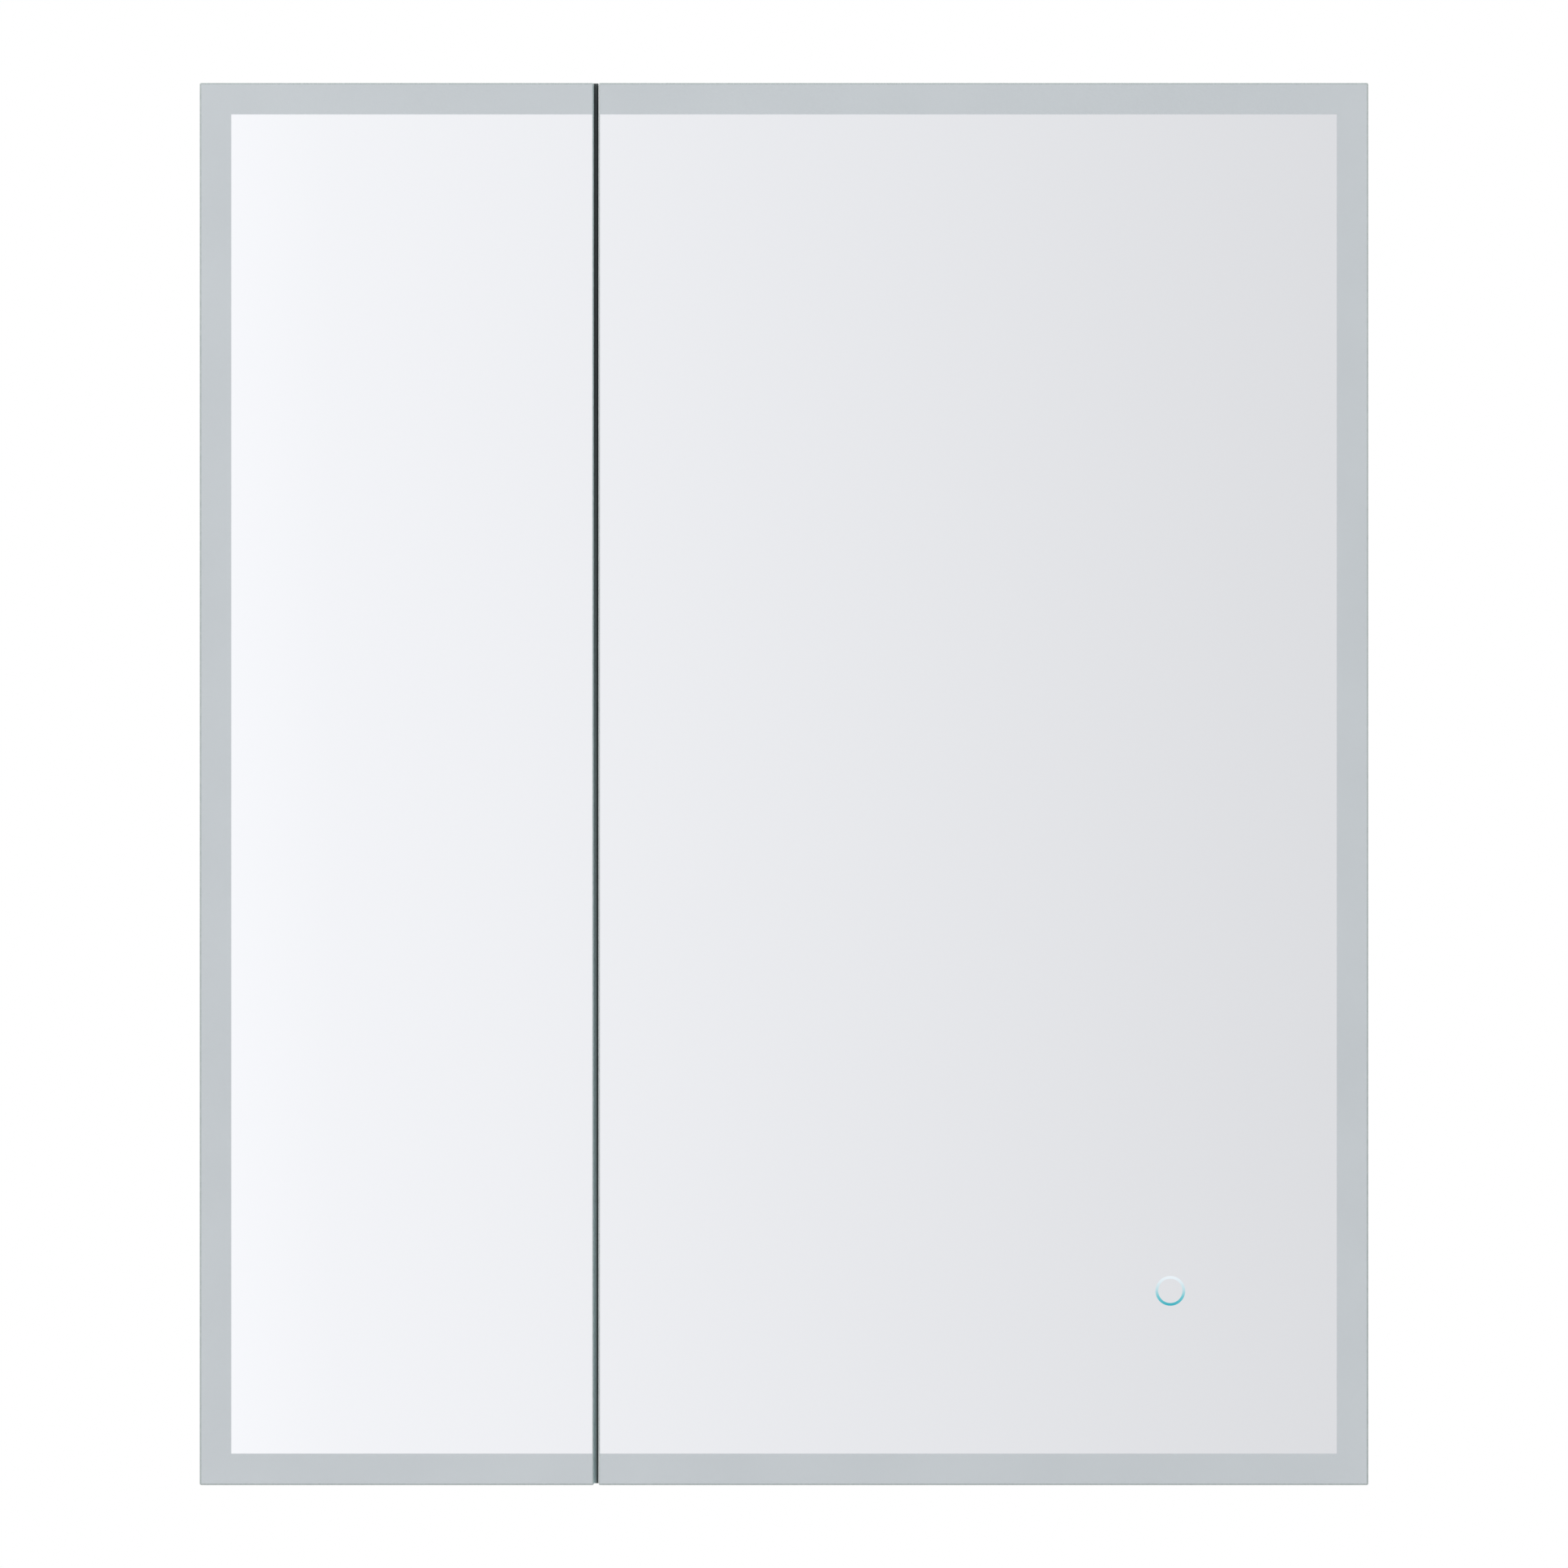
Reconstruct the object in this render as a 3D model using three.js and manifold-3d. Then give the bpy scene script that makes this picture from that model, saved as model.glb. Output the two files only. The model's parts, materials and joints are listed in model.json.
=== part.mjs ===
// A bathroom medicine cabinet for a wall or a wall recess: an extruded aluminium body with a mirrored
// back and three adjustable glass shelves, behind two mirror doors with a lit frosted border. The
// narrow door hangs on the left and the wide one on the right, each on concealed single-pivot hinges.
//
// Millimetres. +X is to the right as seen from the front, +Y goes into the wall and +Z is up.
// The origin is the centre of the back panel's rear face, on the wall.

import * as THREE from "three";
import { mergeVertices } from "three/addons/utils/BufferGeometryUtils.js";
import Module from "manifold-3d";

const wasm = await Module();
wasm.setup();

// ---------------------------------------------------------------- driving dimensions

const seam = 0.3; // gap between pieces that touch
const overcut = 1; // how far a cutting tool runs past what it cuts
const roundSides = 24; // facets of a wide round piece or hole
const smallRoundSides = 16; // and of a narrow one
const bendSegments = 8; // facets of a strap's bend

// front
const frontWidth = 762; // both doors and the gap between them
const frontHeight = 914.4;
const leftDoorWidth = 257;
const meetingGap = 3; // between the two doors
const doorOverhang = 10; // doors past the body, on each side
const doorGap = 3; // body's front edge to the doors' rear face

// body
const bodyDepth = 105;
const panelThickness = 12;
const skin = 1.5; // walls inside an extrusion
const backSheet = 1.5;
const backGlass = 4;
const backGlassMargin = 2;
const tape = 0.5; // glazing tape behind a mirror

// wall fixings: four screws through the back, on studs
const studSpacing = 406.4;
const wallScrewInset = 32; // from the back panel's top and bottom edges
const wallScrewHole = 4; // radius in the back panel
const wallCapHole = 9; // radius in the back mirror, for a screw's cap

// shelf tracks: T-slots in the side panels
const slotDepths = [28, 80]; // distances of the slots from the wall
const slotMouth = 4;
const slotLip = 2;
const slotCavityWidth = 8;
const slotCavityDepth = 4;

// doors
const frameDepth = 20;
const frameInset = 1; // frame behind the front glass's edge
const frameWall = 1.6;
const frameWeb = 2; // rear web of the frame's channels
const railWidth = 24;
const hingeStileWidth = 46;
const frontGlass = 5;
const arris = 1; // ground edge of the front glass
const innerGlass = 3;
const innerGlassBearing = 6; // how far the inner mirror lies on the frame
const borderWidth = 20.6; // frosted border, from the glass's edge
const guideOverlap = 1; // light guide past the border's inner edge

// door lighting
const ledBoard = 1;
const ledBoardWidth = 5;
const ledHeight = 1.4;
const guideThickness = 3;

// touch control and defogger, on the wide door
const touchFromEdge = 128.9; // ring's centre to the wide door's hinge edge
const touchFromBottom = 126.7;
const touchRadius = 11;
const touchBoard = { width: 42, height: 26, thickness: 1.6 };
const touchHousingDepth = 4;
const defogger = { width: 300, height: 420, thickness: 0.6, aboveCentre: 60 };

// hinges
const pivotInset = 7.5; // pin to the door's hinge edge
const pivotDepth = 10; // pin to the door's rear face
const pinRadius = 1.5;
const pinClearance = 0.3;
const eyeRadius = 3;
const armThickness = 2;
const armHeight = 14;
const armBend = 4; // inner radius
const armReach = 46; // along the side panel, from the body's front edge
const platePitch = 6; // mounting plate's setback from the front edge
const plateThickness = 2.7;
const plateLength = 46;
const plateHeight = 44;
const cupMouth = 33; // from the frame's outer wall, which closes the cup on that side
const cupMouthHeight = 18;
const cupDepth = 13;
const cupWall = 1.2;
const cupFlangeHeight = 52;
const endHingeInset = 100; // from the door's top and bottom edges
const thirdHingeHeight = 109; // above the centre, wide door only

// shelves
const shelfHeights = { lower: -218, middle: 0, upper: 218 };
const shelfDepth = 80;
const shelfGlass = 6;
const shelfArris = 1; // ground edge of a shelf
const shelfSetback = 14; // rear edge to the wall
const bracketWidth = 14;
const bracketWall = 2.4;
const bracketGrip = 10; // glass inside the bracket

// supply
const coverWidth = 250;
const coverDepth = 58;
const coverDrop = 39;
const coverSheet = 1.2;
const driver = { width: 190, depth: 40, height: 26 };
const plugRadius = 11;
const plugHead = 13.5;
const plugHeadThickness = 1.6;
const plugFromWall = 60;
const plugOffset = 100; // to the right of the centre

// door leads and bumpers
const leadRadius = 1.6;
const leadBelowHinge = 30; // where it leaves the body, to the upper hinge
const leadRun = 80; // down to where it enters the door
const leadCabinetInset = 11; // where the lead leaves the side panel, behind the body's front edge
const leadDoorInset = 27; // where it enters the door, from the door's edge
const leadSteps = 24; // stretches along its route
const leadQuarterSides = 4; // facets of a quarter of its section
const bumper = { width: 44, height: 8, thickness: 2.4 };

// ---------------------------------------------------------------- derived places

const bodyWidth = frontWidth - 2 * doorOverhang;
const bodyHeight = frontHeight - 2 * doorOverhang;
const innerHalfWidth = bodyWidth / 2 - panelThickness;
const innerHalfHeight = bodyHeight / 2 - panelThickness;
const rightDoorWidth = frontWidth - meetingGap - leftDoorWidth;
const doorRear = -(bodyDepth + doorGap);
const frameFront = doorRear - frameDepth;
const glassRear = frameFront - tape;
const pivotY = doorRear - pivotDepth;
const cupMouthStart = frameInset + frameWall + seam;
const sidePanelFromEdge = doorOverhang + panelThickness; // side panel's inner face to the door's hinge edge
const bodyFrontFromPivot = pivotDepth + doorGap;
const sidePanelFromPivot = sidePanelFromEdge - pivotInset;

// ---------------------------------------------------------------- materials

const standard = (color, roughness, metalness, extra = {}) =>
  new THREE.MeshStandardMaterial({ color, roughness, metalness, ...extra });

const aluminium = standard(0xb9bdc1, 0.38, 1);
const mirror = standard(0xe8ebee, 0.03, 1);
const clearGlass = standard(0xcfe3dd, 0.05, 0, { transparent: true, opacity: 0.35 });
const steel = standard(0xc4c6c8, 0.25, 1);
const diecast = standard(0xa9acae, 0.42, 1);
const boardWhite = standard(0xe9eae6, 0.6, 0);
const acrylic = standard(0xeef1f2, 0.35, 0);
const heaterFilm = standard(0x9c7a4e, 0.5, 0);
const whitePlastic = standard(0xe6e6e3, 0.45, 0);
const greyPlastic = standard(0x9ea2a5, 0.5, 0);
const clearRubber = standard(0xdfe2e2, 0.4, 0);
const leadSheath = standard(0xd6d6d2, 0.55, 0);

// ---------------------------------------------------------------- solids

// A box from its lowest to its highest corner.
function block([x0, y0, z0], [x1, y1, z1]) {
  const box = new THREE.BoxGeometry(x1 - x0, y1 - y0, z1 - z0);
  return box.translate((x0 + x1) / 2, (y0 + y1) / 2, (z0 + z1) / 2);
}

// A closed outline in X and Z, extruded from y = back towards the front.
function plate(outline, back, thickness) {
  const shape = new THREE.Shape(outline.map(([x, z]) => new THREE.Vector2(x, z)));
  return new THREE.ExtrudeGeometry(shape, { depth: thickness, bevelEnabled: false })
    .rotateX(Math.PI / 2)
    .translate(0, back, 0);
}

// A cylinder along an axis, centred at a point.
function rod(radius, length, axis, centre, sides = roundSides) {
  const geometry = new THREE.CylinderGeometry(radius, radius, length, sides);
  if (axis === "z") geometry.rotateX(Math.PI / 2);
  if (axis === "x") geometry.rotateZ(Math.PI / 2);
  return geometry.translate(...centre);
}

// A geometry with its shared vertices merged, as a solid that can be joined and cut.
function solid(geometry) {
  const bare = geometry.clone();
  bare.deleteAttribute("normal");
  bare.deleteAttribute("uv");
  const merged = mergeVertices(bare, 1e-4);
  return new wasm.Manifold(
    new wasm.Mesh({
      numProp: 3,
      vertProperties: merged.attributes.position.array,
      triVerts: new Uint32Array(merged.index.array),
    }),
  );
}

function geometryOf(manifold) {
  const mesh = manifold.getMesh();
  const geometry = new THREE.BufferGeometry();
  geometry.setAttribute("position", new THREE.BufferAttribute(new Float32Array(mesh.vertProperties), 3));
  geometry.setIndex(new THREE.BufferAttribute(new Uint32Array(mesh.triVerts), 1));
  geometry.computeVertexNormals();
  return geometry;
}

const union = (first, ...rest) => rest.reduce((sum, g) => sum.add(solid(g)), solid(first));
const cut = (from, ...tools) => tools.reduce((left, g) => left.subtract(solid(g)), from);

function part(name, geometry, material) {
  const mesh = new THREE.Mesh(geometry, material);
  mesh.name = name;
  return mesh;
}

// ---------------------------------------------------------------- body

// Section of a body extrusion: X from its outer face inwards, Y from the wall to the front, with
// T-slots in the inner face and hollow chambers between them.
function panelSection(slots) {
  const face = panelThickness;
  const lip = face - slotLip;
  const floor = lip - slotCavityDepth;
  const mouth = slotMouth / 2;
  const cavity = slotCavityWidth / 2;
  const outline = [
    [0, 0],
    [0, -bodyDepth],
    [face, -bodyDepth],
  ];
  for (const depth of [...slots].sort((a, b) => b - a)) {
    outline.push([face, -depth - mouth], [lip, -depth - mouth], [lip, -depth - cavity]);
    outline.push([floor, -depth - cavity], [floor, -depth + cavity]);
    outline.push([lip, -depth + cavity], [lip, -depth + mouth], [face, -depth + mouth]);
  }
  outline.push([face, 0]);
  const shape = new THREE.Shape(outline.map(([x, y]) => new THREE.Vector2(x, y)));
  const chamberEnds = [
    skin,
    ...slots.flatMap((depth) => [depth - cavity - skin, depth + cavity + skin]),
    bodyDepth - skin,
  ];
  for (let i = 0; i < chamberEnds.length; i += 2) {
    const chamber = new THREE.Path();
    chamber.moveTo(skin, -chamberEnds[i]);
    chamber.lineTo(lip, -chamberEnds[i]);
    chamber.lineTo(lip, -chamberEnds[i + 1]);
    chamber.lineTo(skin, -chamberEnds[i + 1]);
    chamber.closePath();
    shape.holes.push(chamber);
  }
  return shape;
}

// A length of extrusion along Z with both ends mitred at 45 degrees, its outer face at X = 0.
function mitredPanel(length, slots) {
  const bar = new THREE.ExtrudeGeometry(panelSection(slots), { depth: length, bevelEnabled: false });
  const half = length / 2;
  const t = panelThickness;
  const wedge = plate(
    [
      [-overcut, half + overcut - seam],
      [t + overcut, half - t - overcut - seam],
      [t + overcut, half + overcut],
      [-overcut, half + overcut],
    ],
    overcut,
    bodyDepth + 2 * overcut,
  );
  return cut(solid(bar.translate(0, 0, -half)), wedge, flip(wedge.clone().scale(1, 1, -1)));
}

// Turns a mirrored geometry's faces outwards again, by swapping two corners of each triangle.
function flip(geometry) {
  const corners = geometry.attributes.position;
  const [second, third] = [new THREE.Vector3(), new THREE.Vector3()];
  for (let i = 0; i < corners.count; i += 3) {
    second.fromBufferAttribute(corners, i + 1);
    third.fromBufferAttribute(corners, i + 2);
    corners.setXYZ(i + 1, third.x, third.y, third.z);
    corners.setXYZ(i + 2, second.x, second.y, second.z);
  }
  return geometry;
}

const wallScrews = [-1, 1].flatMap((sx) =>
  [-1, 1].map((sz) => [(sx * studSpacing) / 2, sz * (innerHalfHeight - wallScrewInset)]),
);
const screwHoles = (radius, sides) =>
  wallScrews.map(([x, z]) => rod(radius, 2 * panelThickness, "y", [x, 0, z], sides));

function body() {
  const group = new THREE.Group();
  const side = geometryOf(mitredPanel(bodyHeight, slotDepths));
  for (const [name, sign] of [["left_side_panel", 1], ["right_side_panel", -1]]) {
    const mesh = part(name, side, aluminium);
    mesh.scale.x = sign;
    mesh.position.x = (-sign * bodyWidth) / 2;
    group.add(mesh);
  }
  const plugHole = rod(plugRadius + seam, 4 * panelThickness, "x", [0, -plugFromWall, plugOffset]);
  const flat = mitredPanel(bodyWidth, []);
  for (const [name, sign, made] of [["top_panel", 1, cut(flat, plugHole)], ["bottom_panel", -1, flat]]) {
    const mesh = part(name, geometryOf(made), aluminium);
    mesh.rotation.y = (sign * Math.PI) / 2;
    mesh.position.z = (sign * bodyHeight) / 2;
    group.add(mesh);
  }

  const sheetX = innerHalfWidth - seam;
  const sheetZ = innerHalfHeight - seam;
  const sheet = block([-sheetX, -backSheet, -sheetZ], [sheetX, 0, sheetZ]);
  const backPanel = cut(solid(sheet), ...screwHoles(wallScrewHole, smallRoundSides));
  group.add(part("back_panel", geometryOf(backPanel), aluminium));
  const glassX = innerHalfWidth - backGlassMargin;
  const glassZ = innerHalfHeight - backGlassMargin;
  const glassBack = -backSheet - tape;
  const glass = block([-glassX, glassBack - backGlass, -glassZ], [glassX, glassBack, glassZ]);
  const backMirror = cut(solid(glass), ...screwHoles(wallCapHole, roundSides));
  group.add(part("back_mirror", geometryOf(backMirror), mirror));
  return group;
}

// ---------------------------------------------------------------- supply

function supply() {
  const group = new THREE.Group();
  const ceiling = innerHalfHeight - seam;
  const back = -(backSheet + tape + backGlass) - seam - overcut;
  const lowest = [-coverWidth / 2, back - coverDepth, ceiling - coverDrop];
  const outer = block(lowest, [coverWidth / 2, back, ceiling]);
  const hollow = block(
    lowest.map((place) => place + coverSheet),
    [coverWidth / 2 - coverSheet, back - coverSheet, ceiling + overcut],
  );
  group.add(part("driver_cover", geometryOf(cut(solid(outer), hollow)), whitePlastic));

  const middle = back - coverDepth / 2;
  const top = ceiling - seam;
  const box = block(
    [-driver.width / 2, middle - driver.depth / 2, top - driver.height],
    [driver.width / 2, middle + driver.depth / 2, top],
  );
  group.add(part("led_driver", box, greyPlastic));

  // blanking plug in the supply knockout: a stem through the top panel and a head on its outside
  const roof = bodyHeight / 2 + seam;
  const profile = [
    [0, innerHalfHeight + seam],
    [plugRadius, innerHalfHeight + seam],
    [plugRadius, roof],
    [plugHead, roof],
    [plugHead - plugHeadThickness / 2, roof + plugHeadThickness],
    [0, roof + plugHeadThickness],
  ];
  const turned = profile.map(([r, z]) => new THREE.Vector2(r, z));
  const plug = new THREE.LatheGeometry(turned, roundSides).rotateX(Math.PI / 2);
  group.add(part("supply_plug", plug.translate(plugOffset, -plugFromWall, 0), greyPlastic));
  return group;
}

// ---------------------------------------------------------------- doors
// A door is made with its hinge edge at X = 0 and its free edge at X = width. The wide door is mirrored.

// The four channels of a door's frame, mitred at the corners.
function frameBars(width, hingeHeights) {
  const x0 = frameInset;
  const x1 = width - frameInset;
  const z1 = frontHeight / 2 - frameInset;
  const hole = { x0: x0 + hingeStileWidth, x1: x1 - railWidth, z: z1 - railWidth };
  // a box as large as the frame's opening, grown on all four sides, between two distances from the rear face
  const opening = (grow, from, to) =>
    block([hole.x0 - grow, doorRear - to, -hole.z - grow], [hole.x1 + grow, doorRear - from, hole.z + grow]);
  const ledge = innerGlass + 2 * seam;
  const stepWall = innerGlassBearing + frameWall;

  const behind = frameDepth + 2 * overcut; // past the frame's front face
  const channelLow = [x0 + frameWall, frameFront - overcut, -z1 + frameWall];
  const channelHigh = [x1 - frameWall, doorRear - frameWeb, z1 - frameWall];
  const channel = cut(solid(block(channelLow, channelHigh)), opening(stepWall, -overcut, behind));
  const rebate = cut(
    solid(opening(stepWall + overcut / 2, ledge + frameWall, frameDepth + overcut)),
    opening(frameWall, -overcut, behind),
  );
  let ring = solid(block([x0, frameFront, -z1], [x1, doorRear, z1]))
    .subtract(channel)
    .subtract(rebate);
  ring = cut(ring, opening(0, -overcut, frameDepth + overcut), opening(innerGlassBearing, -overcut, ledge));
  for (const z of hingeHeights) {
    const cup = cupOuter(seam);
    const low = [cup.x0, doorRear - frameWeb - overcut, z - cup.z];
    ring = cut(ring, block(low, [cup.x1, doorRear + overcut, z + cup.z]));
  }
  // mitre cuts, from each corner of the frame to the same corner of its opening
  for (const [outerX, innerX] of [[x0, hole.x0], [x1, hole.x1]])
    for (const sign of [-1, 1]) {
      const run = [innerX - outerX, sign * (hole.z - z1)];
      const blade = block([-2 * railWidth, -frameDepth, -seam / 2], [4 * railWidth, frameDepth, seam / 2]);
      blade.rotateY(-Math.atan2(run[1], run[0]));
      ring = cut(ring, blade.translate(outerX, doorRear, sign * z1));
    }
  const nameOf = ({ min, max }) => {
    if (max[0] < width / 2) return "hinge_stile";
    if (min[0] > width / 2) return "meeting_stile";
    return min[2] > 0 ? "top_rail" : "bottom_rail";
  };
  return ring.decompose().map((bar) => [nameOf(bar.boundingBox()), geometryOf(bar)]);
}

// A C-shaped outline along the door's lit edges: top, hinge side and bottom.
function litOutline(width, from, to) {
  const free = width - frameInset - frameWall - 2 * seam;
  const z = frontHeight / 2;
  return [
    [free, z - from],
    [from, z - from],
    [from, -z + from],
    [free, -z + from],
    [free, -z + to],
    [to, -z + to],
    [to, z - to],
    [free, z - to],
  ];
}

// Glass with ground edges: its faces stand in from its full outline by the arris.
function groundGlass(x0, x1, z0, z1, back, thickness, edge) {
  const shape = new THREE.Shape();
  shape.moveTo(x0 + edge, z0 + edge);
  shape.lineTo(x1 - edge, z0 + edge);
  shape.lineTo(x1 - edge, z1 - edge);
  shape.lineTo(x0 + edge, z1 - edge);
  shape.closePath();
  return new THREE.ExtrudeGeometry(shape, {
    depth: thickness - 2 * edge,
    bevelThickness: edge,
    bevelSize: edge,
    bevelSegments: 1,
  })
    .rotateX(Math.PI / 2)
    .translate(0, back - edge, 0);
}

// Outside of a hinge cup, grown by a clearance.
function cupOuter(clearance) {
  return {
    x0: cupMouthStart - clearance,
    x1: cupMouthStart + cupMouth + cupWall + clearance,
    z: cupMouthHeight / 2 + cupWall + clearance,
  };
}

function hingeCup(z) {
  const outer = cupOuter(0);
  const bottom = doorRear - cupDepth;
  const flangeFace = doorRear + seam;
  const flangeRear = flangeFace + cupWall;
  const flange = cupFlangeHeight / 2;
  const made = union(
    block([outer.x0, bottom - cupWall, z - outer.z], [outer.x1, flangeRear, z + outer.z]),
    block([outer.x0, flangeFace, z - flange], [outer.x1, flangeRear, z + flange]),
  );
  return cut(
    made,
    block(
      [cupMouthStart - overcut, bottom, z - cupMouthHeight / 2],
      [cupMouthStart + cupMouth, doorRear + 3 * overcut, z + cupMouthHeight / 2],
    ),
    rod(pinRadius + pinClearance, 2 * (outer.z + overcut), "z", [pivotInset, pivotY, z], smallRoundSides),
  );
}

function door(side, width, hinges) {
  const group = new THREE.Group();
  const named = (name) => side + "_" + name;
  const heights = Object.values(hinges);
  const z = frontHeight / 2;
  group.add(part(named("front_mirror"), groundGlass(0, width, -z, z, glassRear, frontGlass, arris), mirror));

  for (const [name, geometry] of frameBars(width, heights)) group.add(part(named(name), geometry, aluminium));

  const bearing = innerGlassBearing - seam;
  const inner = {
    x0: frameInset + hingeStileWidth - bearing,
    x1: width - frameInset - railWidth + bearing,
    z: z - frameInset - railWidth + bearing,
  };
  group.add(
    part(
      named("inner_mirror"),
      block([inner.x0, doorRear - seam - innerGlass, -inner.z], [inner.x1, doorRear - seam, inner.z]),
      mirror,
    ),
  );

  const boardEdge = frameInset + frameWall + seam;
  const boardOutline = litOutline(width, boardEdge, boardEdge + ledBoard);
  const board = plate(boardOutline, frameFront + ledBoardWidth, ledBoardWidth - tape);
  group.add(part(named("led_strip"), board, boardWhite));
  const guide = plate(
    litOutline(width, boardEdge + ledBoard + ledHeight + seam, borderWidth + guideOverlap),
    frameFront + tape + guideThickness,
    guideThickness,
  );
  group.add(part(named("light_guide"), guide, acrylic));

  const pinLength = cupMouthHeight + 2 * cupWall;
  for (const [place, height] of Object.entries(hinges)) {
    group.add(part(named("hinge_cup_" + place), geometryOf(hingeCup(height)), diecast));
    const pin = rod(pinRadius, pinLength, "z", [pivotInset, pivotY, height], smallRoundSides);
    group.add(part(named("hinge_pin_" + place), pin, steel));
  }
  return group;
}

// Touch control and defogger behind the wide door's front mirror.
function wideDoorControls(width) {
  const group = new THREE.Group();
  const back = glassRear + seam;
  const z = -frontHeight / 2 + touchFromBottom;
  const rear = back + touchHousingDepth;
  const [halfWidth, halfHeight] = [touchBoard.width / 2, touchBoard.height / 2];
  const housing = union(
    rod(touchRadius, touchHousingDepth, "y", [touchFromEdge, back + touchHousingDepth / 2, z]),
    block(
      [touchFromEdge - halfWidth, rear - touchBoard.thickness, z - halfHeight],
      [touchFromEdge + halfWidth, rear, z + halfHeight],
    ),
  );
  group.add(part("right_touch_sensor", geometryOf(housing), whitePlastic));
  const film = new THREE.BoxGeometry(defogger.width, defogger.thickness, defogger.height);
  film.translate(width / 2, back + defogger.thickness / 2, defogger.aboveCentre);
  group.add(part("right_defogger_pad", film, heaterFilm));
  return group;
}

// ---------------------------------------------------------------- hinge arms, on the body
// X from the door's hinge edge towards the cabinet's middle, as for a door.

// A strap that runs along the side panel and bends across to the eye round the pin.
function hingeArm(z) {
  const strapFace = sidePanelFromPivot + seam + plateThickness + seam;
  const bendX = strapFace - armBend;
  const halfThick = armThickness / 2;
  const bendY = halfThick + armBend;
  const shape = new THREE.Shape();
  shape.moveTo(pinRadius, -halfThick);
  shape.lineTo(bendX, -halfThick);
  shape.absarc(bendX, bendY, armBend + armThickness, -Math.PI / 2, 0, false);
  shape.lineTo(strapFace + armThickness, bodyFrontFromPivot + armReach);
  shape.lineTo(strapFace, bodyFrontFromPivot + armReach);
  shape.lineTo(strapFace, bendY);
  shape.absarc(bendX, bendY, armBend, 0, -Math.PI / 2, true);
  shape.lineTo(pinRadius, halfThick);
  shape.closePath();
  const strap = new THREE.ExtrudeGeometry(shape, {
    depth: armHeight,
    bevelEnabled: false,
    curveSegments: bendSegments,
  });
  const arm = cut(
    union(strap.translate(0, 0, -armHeight / 2), rod(eyeRadius, armHeight, "z", [0, 0, 0])),
    rod(pinRadius + pinClearance, armHeight + 2 * overcut, "z", [0, 0, 0], smallRoundSides),
  );
  return arm.translate([pivotInset, pivotY, z]);
}

// A cross-shaped plate on the side panel, under the arm.
function mountingPlate(z) {
  const x0 = sidePanelFromEdge + seam;
  const x1 = x0 + plateThickness;
  const front = -bodyDepth + platePitch;
  const middle = front + plateLength / 2;
  const half = armHeight / 2;
  return union(
    block([x0, front, z - half], [x1, front + plateLength, z + half]),
    block([x0, middle - half, z - plateHeight / 2], [x1, middle + half, z + plateHeight / 2]),
  );
}

// The low-voltage lead that carries the door's lighting: out of the side panel, down beside the
// hinge axis, which it twists round as the door swings, and into the door.
function doorLead(z) {
  const from = [sidePanelFromEdge + seam, -bodyDepth + leadCabinetInset, z];
  const to = [leadDoorInset, doorRear + seam, z - leadRun];
  const bend = 4 * leadRadius;
  const route = [
    from,
    [from[0] + 0.5 * bend, from[1], z - 0.1 * bend],
    [from[0] + 0.8 * bend, from[1] - 0.1 * bend, z - 0.9 * bend],
    [to[0] + 0.6 * bend, (from[1] + to[1]) / 2, z - leadRun / 2],
    [to[0], to[1] + bend, to[2] + bend],
    [to[0], to[1] + 0.75 * bend, to[2] + 0.15 * bend],
    to,
  ];
  const points = route.map((point) => new THREE.Vector3(...point));
  const section = new THREE.Shape();
  section.absarc(0, 0, leadRadius, 0, 2 * Math.PI, false);
  return new THREE.ExtrudeGeometry(section, {
    extrudePath: new THREE.CatmullRomCurve3(points, false, "centripetal"),
    steps: leadSteps,
    curveSegments: leadQuarterSides,
    bevelEnabled: false,
  });
}

function hingeHardware(side, hinges) {
  const group = new THREE.Group();
  for (const [place, height] of Object.entries(hinges)) {
    group.add(part(`${side}_hinge_arm_${place}`, geometryOf(hingeArm(height)), steel));
    group.add(part(`${side}_hinge_plate_${place}`, geometryOf(mountingPlate(height)), diecast));
  }
  group.add(part(`${side}_door_lead`, doorLead(hinges.upper - leadBelowHinge), leadSheath));
  return group;
}

// ---------------------------------------------------------------- shelves

// A bracket on the left side panel: a channel that grips the glass's end, with two T-shaped feet in
// the tracks.
function shelfBracket() {
  const wall = -innerHalfWidth + seam;
  const half = shelfGlass / 2 + seam + bracketWall;
  const back = -shelfSetback + seam + bracketWall;
  const front = back - shelfDepth - 2 * (seam + bracketWall);
  const grip = block(
    [wall + bracketWidth - bracketGrip - seam, front + bracketWall, -shelfGlass / 2 - seam],
    [wall + bracketWidth + overcut, back - bracketWall, shelfGlass / 2 + seam],
  );
  const lip = wall - slotLip - 2 * seam; // a foot's head lies behind the slot's lip
  const foot = (depth, low, high, across) =>
    block([low, -depth - across / 2, -half], [high, -depth + across / 2, half]);
  const feet = slotDepths.flatMap((depth) => [
    foot(depth, lip - seam, wall + seam, slotMouth - 2 * seam),
    foot(depth, lip - slotCavityDepth + 3 * seam, lip, slotCavityWidth - 2 * seam),
  ]);
  return cut(union(block([wall, front, -half], [wall + bracketWidth, back, half]), ...feet), grip);
}

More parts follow.
